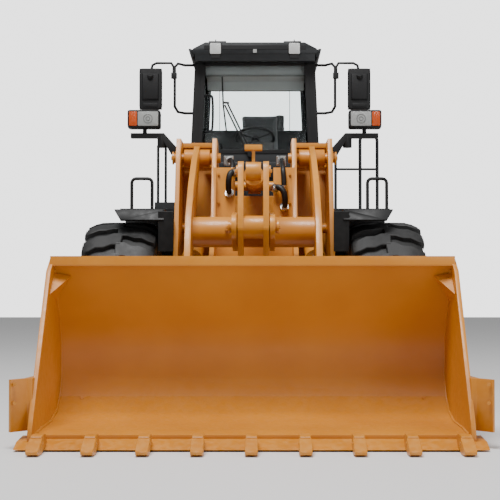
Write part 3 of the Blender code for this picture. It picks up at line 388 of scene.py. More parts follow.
def ribGroup():
    # parallel ribs along one axis, for lamp lenses and woven cloth
    tree, source, out = newGroup("ribs", {"Pitch": 0.006, "Cross": 1.0}, {"Height": "Float"})
    coord = tree.nodes.new("ShaderNodeTexCoord")
    split = tree.nodes.new("ShaderNodeSeparateXYZ")
    tree.links.new(coord.outputs["Object"], split.inputs[0])
    waves = []
    for axis in ("X", "Z", "Y"):
        turns = mathNode(tree, "DIVIDE", split.outputs[axis], source.outputs["Pitch"])
        waves.append(mathNode(tree, "SINE", mathNode(tree, "MULTIPLY", turns, 2 * pi), 0.0))
    crossed = mathNode(tree, "MULTIPLY", mathNode(tree, "ADD", waves[1], waves[2]),
            source.outputs["Cross"])
    tree.links.new(mathNode(tree, "ADD", waves[0], crossed), out.inputs["Height"])
    return tree


weather, grain, ribs = weatherGroup(), grainGroup(), ribGroup()


def placed(tree, group, **values):
    made = tree.nodes.new("ShaderNodeGroup")
    made.node_tree = group
    for label, value in values.items():
        made.inputs[label.replace("_", " ")].default_value = value
    return made


def newMaterial(name):
    mat = bpy.data.materials.new(name)
    mat.use_nodes = True
    return mat, mat.node_tree, mat.node_tree.nodes["Principled BSDF"].inputs


def bumped(tree, height, strength, distance):
    lift = tree.nodes.new("ShaderNodeBump")
    lift.inputs["Strength"].default_value = strength
    lift.inputs["Distance"].default_value = distance
    wire(tree, (height, "Height", lift, "Height"),
            (lift, "Normal", tree.nodes["Principled BSDF"], "Normal"))


def finish(name, colour, shade=None, edge=None, rough=0.5, metal=0.0, wear=0.3, dust=0.15, dustTop=1.3,
        grainScale=400.0, grainCells=0.0, bump=0.1, coat=0.0, shine=0.5):
    mat, tree, plugs = newMaterial(name)
    shade = shade or tuple(c * 0.82 for c in colour)
    edge = edge or tuple(min(1, c * 1.35 + 0.02) for c in colour)
    body = placed(tree, weather, Colour=(*colour, 1), Shade=(*shade, 1), Edge=(*edge, 1),
            Edge_Wear=wear, Dust=dust, Dust_Top=dustTop, Roughness=rough)
    tree.links.new(body.outputs["Colour"], plugs["Base Color"])
    tree.links.new(body.outputs["Roughness"], plugs["Roughness"])
    plugs["Metallic"].default_value = metal
    plugs["Specular IOR Level"].default_value = shine
    plugs["Coat Weight"].default_value = coat
    bumped(tree, placed(tree, grain, Scale=grainScale, Cells=grainCells), bump, 0.002)
    return mat


def glassy(name, colour, rough=0.03, through=1.0, ribPitch=None):
    mat, tree, plugs = newMaterial(name)
    film = noiseAt(tree, 6.0)
    tint = mixColour(tree, spread(tree, film.outputs["Fac"], 0.3, 0.7), (*colour, 1),
            (*(c * 0.96 for c in colour), 1))
    tree.links.new(tint, plugs["Base Color"])
    tree.links.new(spread(tree, film.outputs["Fac"], 0.3, 0.7, rough, rough + 0.03), plugs["Roughness"])
    plugs["Transmission Weight"].default_value = through
    plugs["IOR"].default_value = 1.45 if through < 1 else 1.1
    if ribPitch:
        bumped(tree, placed(tree, ribs, Pitch=ribPitch, Cross=0.6), 0.5, 0.001)
    return mat


def clothLike(name, colour, light, pitch=0.004):
    mat, tree, plugs = newMaterial(name)
    weave = placed(tree, ribs, Pitch=pitch, Cross=1.0)
    mottle = noiseAt(tree, 9.0)
    amount = mathNode(tree, "MULTIPLY", spread(tree, weave.outputs["Height"], -2, 2),
            mottle.outputs["Fac"])
    tree.links.new(mixColour(tree, amount, (*colour, 1), (*light, 1)), plugs["Base Color"])
    tree.links.new(spread(tree, mottle.outputs["Fac"], 0.3, 0.7, 0.82, 0.95), plugs["Roughness"])
    plugs["Sheen Weight"].default_value = 0.25
    bumped(tree, weave, 0.4, 0.001)
    return mat


yellowPaint = finish("yellowPaint", (0.62, 0.245, 0.022), (0.54, 0.205, 0.015), (0.74, 0.36, 0.09),
        rough=0.40, wear=0.30, dust=0.05, grainScale=260, bump=0.05, coat=0.10)
bucketPaint = finish("bucketPaint", (0.55, 0.205, 0.012), (0.49, 0.172, 0.008), (0.70, 0.33, 0.07),
        rough=0.40, wear=0.25, dust=0.06, dustTop=0.9, grainScale=180, bump=0.05)
charcoalPaint = finish("charcoalPaint", (0.011, 0.0125, 0.014), (0.008, 0.009, 0.010),
        (0.03, 0.032, 0.034), rough=0.45, wear=0.30, dust=0.04, grainScale=320, bump=0.05, coat=0.05,
        shine=0.3)
blackSteel = finish("blackSteel", (0.0045, 0.0048, 0.005), (0.006, 0.0062, 0.0065), (0.02, 0.02, 0.02),
        rough=0.5, wear=0.25, dust=0.03, grainScale=500, bump=0.08, shine=0.3)
blackPlastic = finish("blackPlastic", (0.006, 0.006, 0.0065), (0.009, 0.009, 0.0095),
        (0.02, 0.02, 0.02), rough=0.60, wear=0.1, dust=0.03, grainScale=900, grainCells=0.8, bump=0.25,
        shine=0.3)
greyPlastic = finish("greyPlastic", (0.15, 0.156, 0.154), (0.13, 0.135, 0.134), rough=0.6, wear=0.1,
        dust=0.0, grainScale=900, grainCells=0.8, bump=0.2)
palePlastic = finish("palePlastic", (0.80, 0.82, 0.81), (0.74, 0.76, 0.75), rough=0.6, wear=0.05,
        dust=0.0, grainScale=900, grainCells=0.8, bump=0.2)
tyreRubber = finish("tyreRubber", (0.008, 0.0085, 0.009), (0.013, 0.013, 0.013), (0.03, 0.03, 0.03),
        rough=0.55, wear=0.4, dust=0.05, dustTop=1.6, grainScale=240, grainCells=0.5, bump=0.35,
        shine=0.45)
hoseRubber = finish("hoseRubber", (0.006, 0.006, 0.0065), rough=0.45, wear=0.1, dust=0.02,
        grainScale=700, grainCells=0.6, bump=0.3, shine=0.4)
platedSteel = finish("platedSteel", (0.62, 0.62, 0.60), (0.50, 0.50, 0.49), rough=0.28, metal=1.0,
        wear=0.2, dust=0.05, grainScale=300, bump=0.05)
chromeRod = finish("chromeRod", (0.72, 0.73, 0.74), (0.66, 0.67, 0.68), rough=0.12, metal=1.0, wear=0.0,
        dust=0.0, grainScale=120, bump=0.01)
castIron = finish("castIron", (0.10, 0.095, 0.09), (0.07, 0.066, 0.062), rough=0.62, metal=0.6,
        wear=0.3, dust=0.1, grainScale=150, grainCells=0.6, bump=0.4)
cabGlass = glassy("cabGlass", (0.90, 0.94, 0.94), rough=0.0)
mirrorGlass = finish("mirrorGlass", (0.85, 0.87, 0.88), (0.82, 0.84, 0.85), rough=0.05, metal=1.0,
        wear=0.0, dust=0.0, grainScale=60, bump=0.0)
clearLens = glassy("clearLens", (0.40, 0.41, 0.40), rough=0.15, through=0.25, ribPitch=0.007)
roofLens = glassy("roofLens", (0.62, 0.63, 0.62), rough=0.15, through=0.25, ribPitch=0.009)
amberLens = glassy("amberLens", (0.58, 0.075, 0.004), rough=0.15, through=0.15, ribPitch=0.006)
redLens = glassy("redLens", (0.60, 0.01, 0.01), rough=0.15, through=0.15, ribPitch=0.006)
seatCloth = clothLike("seatCloth", (0.035, 0.036, 0.038), (0.11, 0.112, 0.116))
print("finishes ready")


# carried-over solids, with their edges rounded
def softened(node, mat, width=0.005, segments=2, angle=30, crease=32):
    bm = bmesh.new()
    bm.from_mesh(nodes[node].data)
    bmesh.ops.remove_doubles(bm, verts=bm.verts, dist=2e-5)
    bmesh.ops.dissolve_limit(bm, angle_limit=radians(1.0), verts=bm.verts, edges=bm.edges)
    obj = objectFrom(node + "Soft", bm, mat)
    rounded(obj, width, segments, angle, crease)
    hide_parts(node)
    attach(obj, bodyOf[node])
    return obj


def placeOn(body, *objects):
    for obj in objects:
        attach(obj, body)


# node, finish and width of its rounding; a star stands for left and right
softNodes = (("front_frame", yellowPaint, 0.004), ("boom", yellowPaint, 0.005),
        ("bellcrank", yellowPaint, 0.006), ("tilt_link", yellowPaint, 0.006),
        ("bucket", bucketPaint, 0.003), ("rear_frame", yellowPaint, 0.004),
        ("front_axle", yellowPaint, 0.008), ("rear_axle", yellowPaint, 0.008),
        ("counterweight", yellowPaint, 0.018), ("engine_hood", yellowPaint, 0.010),
        ("engine_door_*", yellowPaint, 0.006), ("front_fender_*", blackSteel, 0.003),
        ("rear_fender_*", yellowPaint, 0.003), ("cab_frame", charcoalPaint, 0.012),
        ("cab_roof", charcoalPaint, 0.012), ("cab_door_*", charcoalPaint, 0.006),
        ("platform_*", charcoalPaint, 0.003), ("fuel_tank", charcoalPaint, 0.015),
        ("hydraulic_tank", charcoalPaint, 0.015), ("dashboard", blackPlastic, 0.008),
        ("exhaust_stack", blackSteel, 0.003), ("engine_block", castIron, 0.02),
        ("tilt_cylinder_barrel", yellowPaint, 0.004), ("lift_cylinder_barrel_*", yellowPaint, 0.004),
        ("steer_cylinder_barrel_*", yellowPaint, 0.003), ("tilt_cylinder_rod", yellowPaint, 0.003),
        ("lift_cylinder_rod_*", chromeRod, 0.002), ("steer_cylinder_rod_*", chromeRod, 0.002),
        ("mirror_*", blackPlastic, 0.006), ("headlamp_*", blackPlastic, 0.006),
        ("rear_grille", charcoalPaint, 0.004))
for pattern, mat, width in softNodes:
    for name, side in sides if "*" in pattern else (("", 0),):
        softened(pattern.replace("*", name), mat, width)
print("solids rounded")

for node in ("windscreen", "rear_glass", "quarter_glass_left", "quarter_glass_right", "door_glass_left",
        "door_glass_right"):
    nodes[node].data.materials.clear()
    nodes[node].data.materials.append(cabGlass)

# wheels
tyre = {"lugs": 19, "casingDrop": 0.042, "sidewallRings": (0.42, 0.50, 0.60)}
rimShape = {"bolts": 20, "boltRing": 0.235, "hubBolts": 10, "hubRing": 0.125}


def tyreFor(node):
    low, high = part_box(node)
    middle, radius = (low + high) / 2, (high.z - low.z) / 2
    half = (high.x - low.x) / 2
    base = radius - tyre["casingDrop"]
    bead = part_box(node.replace("tyre", "rim"))
    inner = (bead[1].z - bead[0].z) / 2 + 0.001
    bm = bmesh.new()
    right = [(half * 0.80, inner), (half * 0.86, inner + 0.03), (half * 0.93, 0.42),
            (half * 0.985, 0.46), (half, 0.53), (half, 0.58), (half * 0.985, 0.66),
            (half * 0.965, 0.70), (half * 0.93, 0.725), (half * 0.86, base - 0.022),
            (half * 0.70, base - 0.008), (half * 0.40, base)]
    addTurned(bm, [(-x, r) for x, r in right] + [(x, r) for x, r in reversed(right)], middle, 96,
            closed=True)
    casing = piece(node + "Casing", bm, tyreRubber, 40)

    bm = bmesh.new()
    # one lug: a bent bar from shoulder to middle, wrapped on the casing; plan is (x, arc length)
    pitch = 2 * pi / tyre["lugs"]
    step = pitch * radius

    def lug(sign, offset):
        plan = [((0.99, 0.06), (0.99, 0.60)), ((0.80, 0.06), (0.80, 0.64)),
                ((0.62, 0.16), (0.60, 0.74)), ((0.40, 0.16), (0.36, 0.76)),
                ((0.20, 0.30), (0.17, 0.92)), ((-0.06, 0.30), (-0.09, 0.92))]
        rows = []
        for rear, front in plan:
            column = []
            for x, t in (rear, front):
                for depth in (0, 1):
                    crown = 0.0 if abs(x) < 0.5 else (abs(x) - 0.5) ** 2 * 0.17
                    top = radius - 0.001 - crown
                    r = top if depth == 0 else top - tyre["casingDrop"] - 0.012
                    grow = 0.0 if depth == 0 else 0.018
                    narrow = 0.985 if depth == 0 else 1.0
                    a = ((t + (grow if t > 0.45 else -grow)) * step + offset) / radius
                    column.append(bm.verts.new((middle.x + sign * x * half * narrow,
                            middle.y + r * sin(a), middle.z + r * cos(a))))
            rows.append(column)  # rear top, rear bottom, front top, front bottom
        for a, b in zip(rows, rows[1:]):
            bm.faces.new((a[0], b[0], b[2], a[2]))
            if a is rows[0]:
                bm.faces.new((a[1], a[0], a[2], a[3]))
            bm.faces.new((a[0], a[1], b[1], b[0]))
            bm.faces.new((a[2], b[2], b[3], a[3]))
        last = rows[-1]
        bm.faces.new((last[0], last[1], last[3], last[2]))

    lug(1, 0.0)
    lug(-1, step * 0.5)
    # the shoulder block that runs down the side
    for sign, offset in ((1, 0.0), (-1, step * 0.5)):
        rows = []
        for x, r in ((0.99, radius - 0.043), (1.005, radius - 0.075), (0.99, radius - 0.115)):
            angles = ((0.08 * step + offset) / radius, (0.58 * step + offset) / radius)
            rows.append([bm.verts.new((middle.x + sign * x * half, middle.y + r * sin(a),
                    middle.z + r * cos(a))) for a in angles])
        for a, b in zip(rows, rows[1:]):
            bm.faces.new((a[0], a[1], b[1], b[0]))
    bmesh.ops.recalc_face_normals(bm, faces=bm.faces)
    tread = objectFrom(node + "Tread", bm, tyreRubber, 30)
    rounded(tread, 0.006, 1)
    repeated(tread, copyRing, Count=tyre["lugs"], Centre=middle, Axis=(1, 0, 0))
    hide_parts(node)
    placeOn(bodyOf[node], casing, tread)

    bm = bmesh.new()
    turns = [2 * pi * k / 72 for k in range(72)]
    for r in tyre["sidewallRings"]:  # moulded rings on both sidewalls
        for sign in (-1, 1):
            x = middle.x + sign * half * (0.93 + 0.07 * min(1, (r - 0.42) / 0.1))
            addTube(bm, [(x, middle.y + r * sin(a), middle.z + r * cos(a)) for a in turns], 0.004, 5,
                    closed=True)
    placeOn(bodyOf[node], objectFrom(node + "Rings", bm, tyreRubber, 60))


def rimFor(node, side):
    low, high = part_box(node)
    middle, radius = (low + high) / 2, (high.z - low.z) / 2
    half = (high.x - low.x) / 2
    bm = bmesh.new()
    profile = [(0.215, 0.0), (0.215, 0.075), (0.200, 0.092), (0.170, 0.100), (0.165, 0.148),
            (0.110, 0.160), (0.085, 0.175), (0.076, 0.205), (0.070, 0.285), (0.095, 0.300),
            (half * 0.72, 0.308), (half * 0.90, 0.316), (half * 0.93, 0.330), (half, 0.336),
            (half, radius), (half * 0.95, radius), (half * 0.90, radius - 0.012),
            (-half * 0.90, radius - 0.012), (-half * 0.95, radius), (-half, radius), (-half, 0.325),
            (-half * 0.9, 0.312), (-0.02, 0.30), (-0.02, 0.0)]
    addTurned(bm, [(side * x, r) for x, r in profile], middle, 72)
    disc = piece(node + "Disc", bm, yellowPaint, 28)
    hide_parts(node)
    bm = bmesh.new()
    x = middle.x + side * 0.072
    addRod(bm, (x, middle.y, middle.z + rimShape["boltRing"]),
            (x + side * 0.022, middle.y, middle.z + rimShape["boltRing"]), 0.017, 6)
    addRod(bm, (x, middle.y, middle.z + rimShape["boltRing"]),
            (x + side * 0.034, middle.y, middle.z + rimShape["boltRing"]), 0.009, 8)
    studs = repeated(piece(node + "Studs", bm, platedSteel), copyRing, Count=rimShape["bolts"],
            Centre=middle, Axis=(1, 0, 0))
    bm = bmesh.new()
    x = middle.x + side * 0.166
    addRod(bm, (x - side * 0.004, middle.y, middle.z + rimShape["hubRing"]),
            (x + side * 0.012, middle.y, middle.z + rimShape["hubRing"]), 0.010, 6)
    hub = repeated(piece(node + "HubBolts", bm, yellowPaint), copyRing, Count=rimShape["hubBolts"],
            Centre=middle, Axis=(1, 0, 0))
    bm = bmesh.new()
    x = middle.x + side * 0.213
    addRod(bm, (x, middle.y, middle.z), (x + side * 0.016, middle.y, middle.z), 0.022, 6)
    addTube(bm, [(middle.x + side * half * 0.70, middle.y, middle.z + 0.306),
            (middle.x + side * half * 0.86, middle.y, middle.z + 0.300),
            (middle.x + side * half * 0.98, middle.y, middle.z + 0.29)], 0.006, 8)
    plug = piece(node + "PlugAndValve", bm, platedSteel)
    placeOn(bodyOf[node], disc, studs, hub, plug)


for end in ("front", "rear"):
    for name, side in sides:
        tyreFor(f"{end}_tyre_{name}")
        rimFor(f"{end}_rim_{name}", side)
print("wheels made")


# bucket: edge, teeth, bolts and weld beads
blade = {"teeth": 9, "front": -4.20, "under": 0.012, "rise": 0.0533, "toothHalf": 0.041}


def bucketPieces():
    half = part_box("cutting_edge")[1].x
    bm = bmesh.new()
    addPlate(bm, [(blade["front"] + 0.02, blade["under"]), (-4.07, blade["rise"]), (-3.86, 0.0678),
            (-3.86, 0.022)], -half, half, acrossX)
    edge = piece("edgeBlade", bm, bucketPaint, 25, 0.003, 1)
    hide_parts("cutting_edge")
    span = 2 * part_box("bucket")[1].x - 2 * 0.125 - 0.19
    first = -span / 2
    bm = bmesh.new()

    def ring(y, top, bottom, wide):
        wide *= blade["toothHalf"]
        corners = ((-wide, bottom), (wide, bottom), (wide, top), (-wide, top))
        return [at(first + x, y, z) for x, z in corners]

    # the wedge point, then its adapter with two legs over the blade
    addLoft(bm, [ring(-4.418, 0.034, 0.018, 0.92), ring(-4.39, 0.046, 0.008, 0.98),
            ring(-4.30, 0.086, 0.001, 1.0), ring(-4.262, 0.100, 0.001, 0.96)])
    addLoft(bm, [ring(-4.268, 0.108, 0.004, 0.84), ring(-4.235, 0.114, 0.006, 0.90),
            ring(-4.19, 0.116, 0.020, 0.90), ring(-4.12, 0.112, 0.034, 0.86),
            ring(-4.065, 0.072, 0.052, 0.78)])
    wide = blade["toothHalf"] * 1.02
    addRod(bm, at(first - wide, -4.232, 0.062), at(first + wide, -4.232, 0.062), 0.012, 8)
    teeth = piece("teeth", bm, bucketPaint, 25, 0.003, 1)
    repeated(teeth, copyRow, Count=blade["teeth"], Step=(span / (blade["teeth"] - 1), 0, 0))

    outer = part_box("bucket")[1].x - 0.125
    bm = bmesh.new()
    for side in (-1, 1):
        wall = side * (outer - 0.030)
        # gusset in the upper corner, then the bolt heads of the guards
        corner = [bm.verts.new(at(wall, -3.43, 1.00)),
                bm.verts.new(at(wall - side * 0.12, -3.25, 1.13)), bm.verts.new(at(wall, -3.26, 1.15)),
                bm.verts.new(at(wall, -3.20, 0.95))]
        bm.faces.new(corner[:3])
        bm.faces.new((corner[0], corner[3], corner[1]))
        bm.faces.new((corner[1], corner[3], corner[2]))
        bm.faces.new((corner[0], corner[2], corner[3]))
        for y, z in ((-3.80, 0.36), (-3.80, 0.19), (-3.90, 0.36), (-3.90, 0.19)):
            addRod(bm, at(side * (outer + 0.02), y, z), at(side * (outer + 0.048), y, z), 0.019, 6)
        for z in (0.42, 0.30):
            addRod(bm, at(side * (outer + 0.088), -4.045, z), at(side * (outer + 0.082), -4.065, z),
                    0.013, 6)
    trim = piece("bucketTrim", bm, bucketPaint)

    bm = bmesh.new()
    bowl = [(-3.98, 0.084), (-3.75, 0.10), (-3.39, 0.104), (-3.16, 0.15), (-3.02, 0.25), (-2.96, 0.40),
            (-2.97, 0.62), (-3.03, 0.80), (-3.14, 0.94), (-3.26, 1.17)]
    for side in (-1, 1):  # weld beads where the walls meet the bowl
        addTube(bm, [at(side * (outer - 0.033), y - 0.004, z + 0.004) for y, z in bowl], 0.009, 6)
        for x in (0.42, 0.62):  # and behind the hinge cheeks
            addTube(bm, [at(side * x, -2.945, z) for z in (0.44, 0.50, 0.56)], 0.008, 6)
    for x in (-1.25, 1.25):  # plugs in the bowl
        addRod(bm, at(x, -3.01, 0.225), at(x, -3.045, 0.242), 0.013, 8)
    beads = piece("weldBeads", bm, bucketPaint, 60)
    placeOn("bucket", edge, teeth, trim, beads)


bucketPieces()
print("bucket made")


# pin heads of the linkage
def pinHead(bm, x, pin, out, radius):
    a, b = Vector((x, pin.y, pin.z)), Vector((x + out * 0.014, pin.y, pin.z))
    addRod(bm, a, b, radius, 24)
    addRod(bm, b, b + Vector((out * 0.012, 0, 0)), radius * 0.32, 6)


def linkPins():
    bm = bmesh.new()
    boomPin, bucketPin = jointAt["boom_lift"], jointAt["bucket_tilt"]
    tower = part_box("front_frame")[1].x
    for side in (-1, 1):
        pinHead(bm, side * tower, boomPin, side, 0.058)
        for k in range(3):
            a = 2 * pi * k / 3 + 0.5
            p = boomPin + Vector((0, 0.085 * cos(a), 0.085 * sin(a)))
            addRod(bm, (side * 0.70, p.y, p.z), (side * 0.714, p.y, p.z), 0.011, 6)
    placeOn("front_body", piece("boomPinHeads", bm, yellowPaint))
    bm = bmesh.new()
    for side in (-1, 1):
        pinHead(bm, side * (0.52 + 0.125), bucketPin, side, 0.062)
    placeOn("bucket", piece("bucketPinHeads", bm, yellowPaint))
    bm = bmesh.new()
    for side in (-1, 1):  # the bellcrank's pin and its nipple
        pinHead(bm, side * 0.185, jointAt["bellcrank_turn"], side, 0.052)
    addRod(bm, at(-0.22, -2.155, 1.52), at(-0.22, -2.175, 1.52), 0.016, 6)
    placeOn("boom", piece("crankPinHeads", bm, yellowPaint))
    bm = bmesh.new()
    for side in (-1, 1):
        pinHead(bm, side * 0.1225, at(0, -2.35, 1.97), side, 0.046)
    placeOn("bellcrank", piece("crankTopHeads", bm, yellowPaint))


linkPins()
print("pins made")


# hoses with plated fittings at both ends
def fitting(bm, start, end, radius):
    start, end = Vector(start), Vector(end)
    addRod(bm, start, end, radius, 12)
    mid = start.lerp(end, 0.5)
    along = (end - start).normalized()
    addRod(bm, mid - along * 0.010, mid + along * 0.010, radius * 1.35, 6)


def hoseRun(name, body, points, radius=0.016, fit=0.055, steps=6):
    line = curveThrough(points, steps)
    bm = bmesh.new()
    addTube(bm, line, radius, 12)
    hose = piece(name, bm, hoseRubber, 40)
    bm = bmesh.new()
    for a, b in ((Vector(points[0]), Vector(points[1])), (Vector(points[-1]), Vector(points[-2]))):
        along = (b - a).normalized()
        fitting(bm, a - along * 0.004, a + along * fit, radius * 1.22)
    ends = piece(name + "Fittings", bm, platedSteel)
    placeOn(body, hose, ends)


# radius and points of the hoses at the bellcrank
hoses = {
    "hoseTiltRight": (0.021, ((-0.235, -0.98, 2.20), (-0.215, -1.05, 2.20), (-0.195, -1.16, 2.15),
                              (-0.20, -1.24, 2.06))),
    "hoseLoopRight": (0.026, ((-0.155, -1.29, 2.06), (-0.205, -1.33, 2.055), (-0.225, -1.34, 1.99),
                              (-0.225, -1.30, 1.90), (-0.215, -1.24, 1.87))),
    "hoseTiltLeft": (0.023, ((0.245, -0.98, 2.20), (0.25, -1.06, 2.19), (0.255, -1.25, 2.10),
                             (0.262, -1.28, 1.99), (0.262, -1.275, 1.90))),
    "hoseLoopLeft": (0.026, ((0.165, -1.29, 1.915), (0.215, -1.325, 1.93), (0.262, -1.345, 1.88),
                             (0.272, -1.32, 1.79), (0.262, -1.25, 1.745))),
}


def frameHoses():
    for name, (radius, points) in hoses.items():
        hoseRun(name, "front_body", [at(*p) for p in points], radius, 0.05)
    bm = bmesh.new()
    for x, y, z in ((-0.235, -0.96, 2.20), (0.245, -0.96, 2.20)):  # four-bolt flanges behind the hoses
        addBox(bm, x - 0.045, x + 0.045, hinge.y + y - 0.012, hinge.y + y + 0.016, z - 0.045, z + 0.045)
        for dx in (-0.03, 0.03):
            for dz in (-0.03, 0.03):
                addRod(bm, at(x + dx, y - 0.010, z + dz), at(x + dx, y - 0.028, z + dz), 0.009, 6)
    placeOn("front_body", piece("flanges", bm, platedSteel, 30, 0.004, 1))
    for name, side in sides:
        # lift hoses inside each tower
        hoseRun(f"liftHose{name.title()}", "front_body",
                [at(side * 0.30, -0.60, 1.16), at(side * 0.30, -0.58, 1.30),
                at(side * 0.29, -0.56, 1.60), at(side * 0.26, -0.56, 1.86),
                at(side * 0.22, -0.62, 2.00)], 0.016)
        # steering hoses beside the hinge, held on the rear frame
        hoseRun(f"steerHose{name.title()}", "rear_body",
                [at(side * 0.24, 0.24, 1.10), at(side * 0.24, 0.16, 1.08), at(side * 0.30, 0.12, 0.98),
                at(side * 0.37, 0.24, 0.90), at(side * 0.37, 0.44, 0.86)], 0.014)


frameHoses()


# front frame and axles: bolts, plates, drive shaft flanges, mud flaps
axleTrim = {"z": 0.80, "face": 0.235, "bolts": 10, "ring": 0.20, "pinion": 0.07}
shaftTrim = {"z": 0.74, "radius": 0.045, "flange": 0.075, "front": (-0.74, -0.535),
        "rear": (-0.235, -0.16)}


def frameTrim():
    bm = bmesh.new()
    for side in (-1, 1):
        for z in (1.30, 1.55, 1.80, 2.05):  # bolt heads that hold the cross plates
            addRod(bm, at(side * 0.315, -1.252, z), at(side * 0.315, -1.266, z), 0.012, 6)
        for y, z in ((-0.85, 1.35), (-1.28, 1.30), (-0.85, 1.95)):
            addRod(bm, at(side * 0.70, y, z), at(side * 0.712, y, z), 0.016, 6)
        for x, y in ((side * 0.30, -1.56), (side * 0.42, -1.56), (side * 0.30, -1.74),
                (side * 0.42, -1.74)):
            addRod(bm, at(x, y, 0.90), at(x, y, 0.994), 0.018, 6)
    placeOn("front_body", piece("frameBolts", bm, yellowPaint))
    bm = bmesh.new()  # cover under the tilt cylinder
    addBox(bm, -0.20, 0.20, hinge.y - 0.956, hinge.y - 0.944, 1.66, 1.88)
    for side in (-1, 1):  # plates that close the back of each tower
        x0, x1 = sorted((side * 0.372, side * 0.665))
        addBox(bm, x0, x1, hinge.y - 0.675, hinge.y - 0.663, 2.02, 2.37)
    placeOn("front_body", piece("framePlates", bm, yellowPaint, 30, 0.003, 1))
    for end, sign, body in (("front", -1, "front_body"), ("rear", 1, "rear_body")):
        low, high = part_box(f"{end}_axle")
        middle = (low + high) / 2
        face = middle.y - sign * axleTrim["face"]
        z = axleTrim["z"]
        pinion, bolts = bmesh.new(), bmesh.new()
        addTube(pinion, [(middle.x, face - sign * 0.03, z), (middle.x, face - sign * 0.10, z)],
                axleTrim["pinion"], 20)
        for k in range(axleTrim["bolts"]):
            a = 2 * pi * k / axleTrim["bolts"]
            x, up = middle.x + axleTrim["ring"] * cos(a), z + axleTrim["ring"] * sin(a)
            addRod(bolts, (x, face + sign * 0.03, up), (x, face - sign * 0.012, up), 0.014, 6)
        placeOn(body, piece(f"{end}Pinion", pinion, castIron, 40),
                piece(f"{end}AxleBolts", bolts, platedSteel))
    for end in ("front", "rear"):
        shaft = bmesh.new()  # drive shaft flanges in the hinge gap
        (y0, y1), z = shaftTrim[end], shaftTrim["z"]
        addTube(shaft, [at(0, y0, z), at(0, y1, z)], shaftTrim["radius"], 20)
        addTube(shaft, [at(0, y1 - 0.022, z), at(0, y1, z)], shaftTrim["flange"], 20)
        placeOn(f"{end}_body", piece(f"{end}Shaft", shaft, castIron, 40))
    for name, side in sides:  # mud flap behind each front wheel
        bm = bmesh.new()
        inner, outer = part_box(f"front_tyre_{name}")
        near = inner.x if side > 0 else -outer.x
        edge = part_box(f"front_fender_{name}")[1].y
        addPlate(bm, [(0.705, 1.26), (near - 0.015, 1.26), (near - 0.015, 1.52), (1.13, 1.52),
                (1.13, 1.685), (0.705, 1.685)], edge - hinge.y - 0.030, edge - hinge.y - 0.018,
                lambda u, v, w: (side * u, hinge.y + w, v))
        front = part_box(f"front_fender_{name}")[0].y
        addBox(bm, *sorted((side * 0.655, side * (near - 0.015))), front + 0.012, front + 0.024, 1.34,
                1.67)
        placeOn("front_body", piece(f"mudFlap{name.title()}", bm, blackSteel, 30, 0.003, 1))


frameTrim()


# lamps, mirrors and the cab's outside
def boxRound(bm, low, high, radius, steps=4):
    # a soft-cornered slab lying across Y
    x0, z0, x1, z1 = low[0], low[2], high[0], high[2]
    outline = []
    for cx, cz, start in ((x1 - radius, z1 - radius, 0), (x0 + radius, z1 - radius, 90),
            (x0 + radius, z0 + radius, 180), (x1 - radius, z0 + radius, 270)):
        for i in range(steps + 1):
            a = radians(start + 90 * i / steps)
            outline.append((cx + radius * cos(a), cz + radius * sin(a)))
    face = bm.faces.new([bm.verts.new((x, low[1], z)) for x, z in outline])
    grown = bmesh.ops.extrude_face_region(bm, geom=[face])
    bmesh.ops.translate(bm, vec=(0, high[1] - low[1], 0),
            verts=[g for g in grown["geom"] if isinstance(g, bmesh.types.BMVert)])


headlampShape = {"low": (0.877, -0.83, 2.525), "high": (1.172, -0.70, 2.683), "amber": 0.075,
        "rim": 0.012}


def headlamps():
    lowX, lowY, lowZ = headlampShape["low"]
    highX, highY, highZ = headlampShape["high"]
    rim = headlampShape["rim"]
    split = highX - rim - headlampShape["amber"]
    front = hinge.y + lowY
    for name, side in sides:
        x0, x1 = sorted((side * (lowX - 0.002), side * (highX + 0.002)))
        bm = bmesh.new()
        boxRound(bm, (x0, front - 0.012, lowZ - 0.003), (x1, hinge.y + highY + 0.012, highZ + 0.003),
                0.022)
        parts = [piece(f"lampShell{name.title()}", bm, blackPlastic, 30, 0.006)]
        for label, mat, ends in (("turnLens", amberLens, (split, highX - rim)),
                ("headLens", clearLens, (lowX + rim, split - 0.006))):
            x0, x1 = sorted(side * x for x in ends)
            bm = bmesh.new()
            boxRound(bm, (x0, front - 0.020, lowZ + rim), (x1, front - 0.006, highZ - rim), 0.010)
            parts.append(piece(label + name.title(), bm, mat, 30, 0.004))
        bm = bmesh.new()
        cx = (x0 + x1) / 2
        for r in (0.018, 0.040):
            addTube(bm, [(cx + r * cos(2 * pi * k / 24), front - 0.021,
                    2.604 + r * sin(2 * pi * k / 24)) for k in range(24)], 0.003, 6, closed=True)
        parts.append(piece(f"lensRings{name.title()}", bm, greyPlastic, 40))
        placeOn("front_body", *parts)


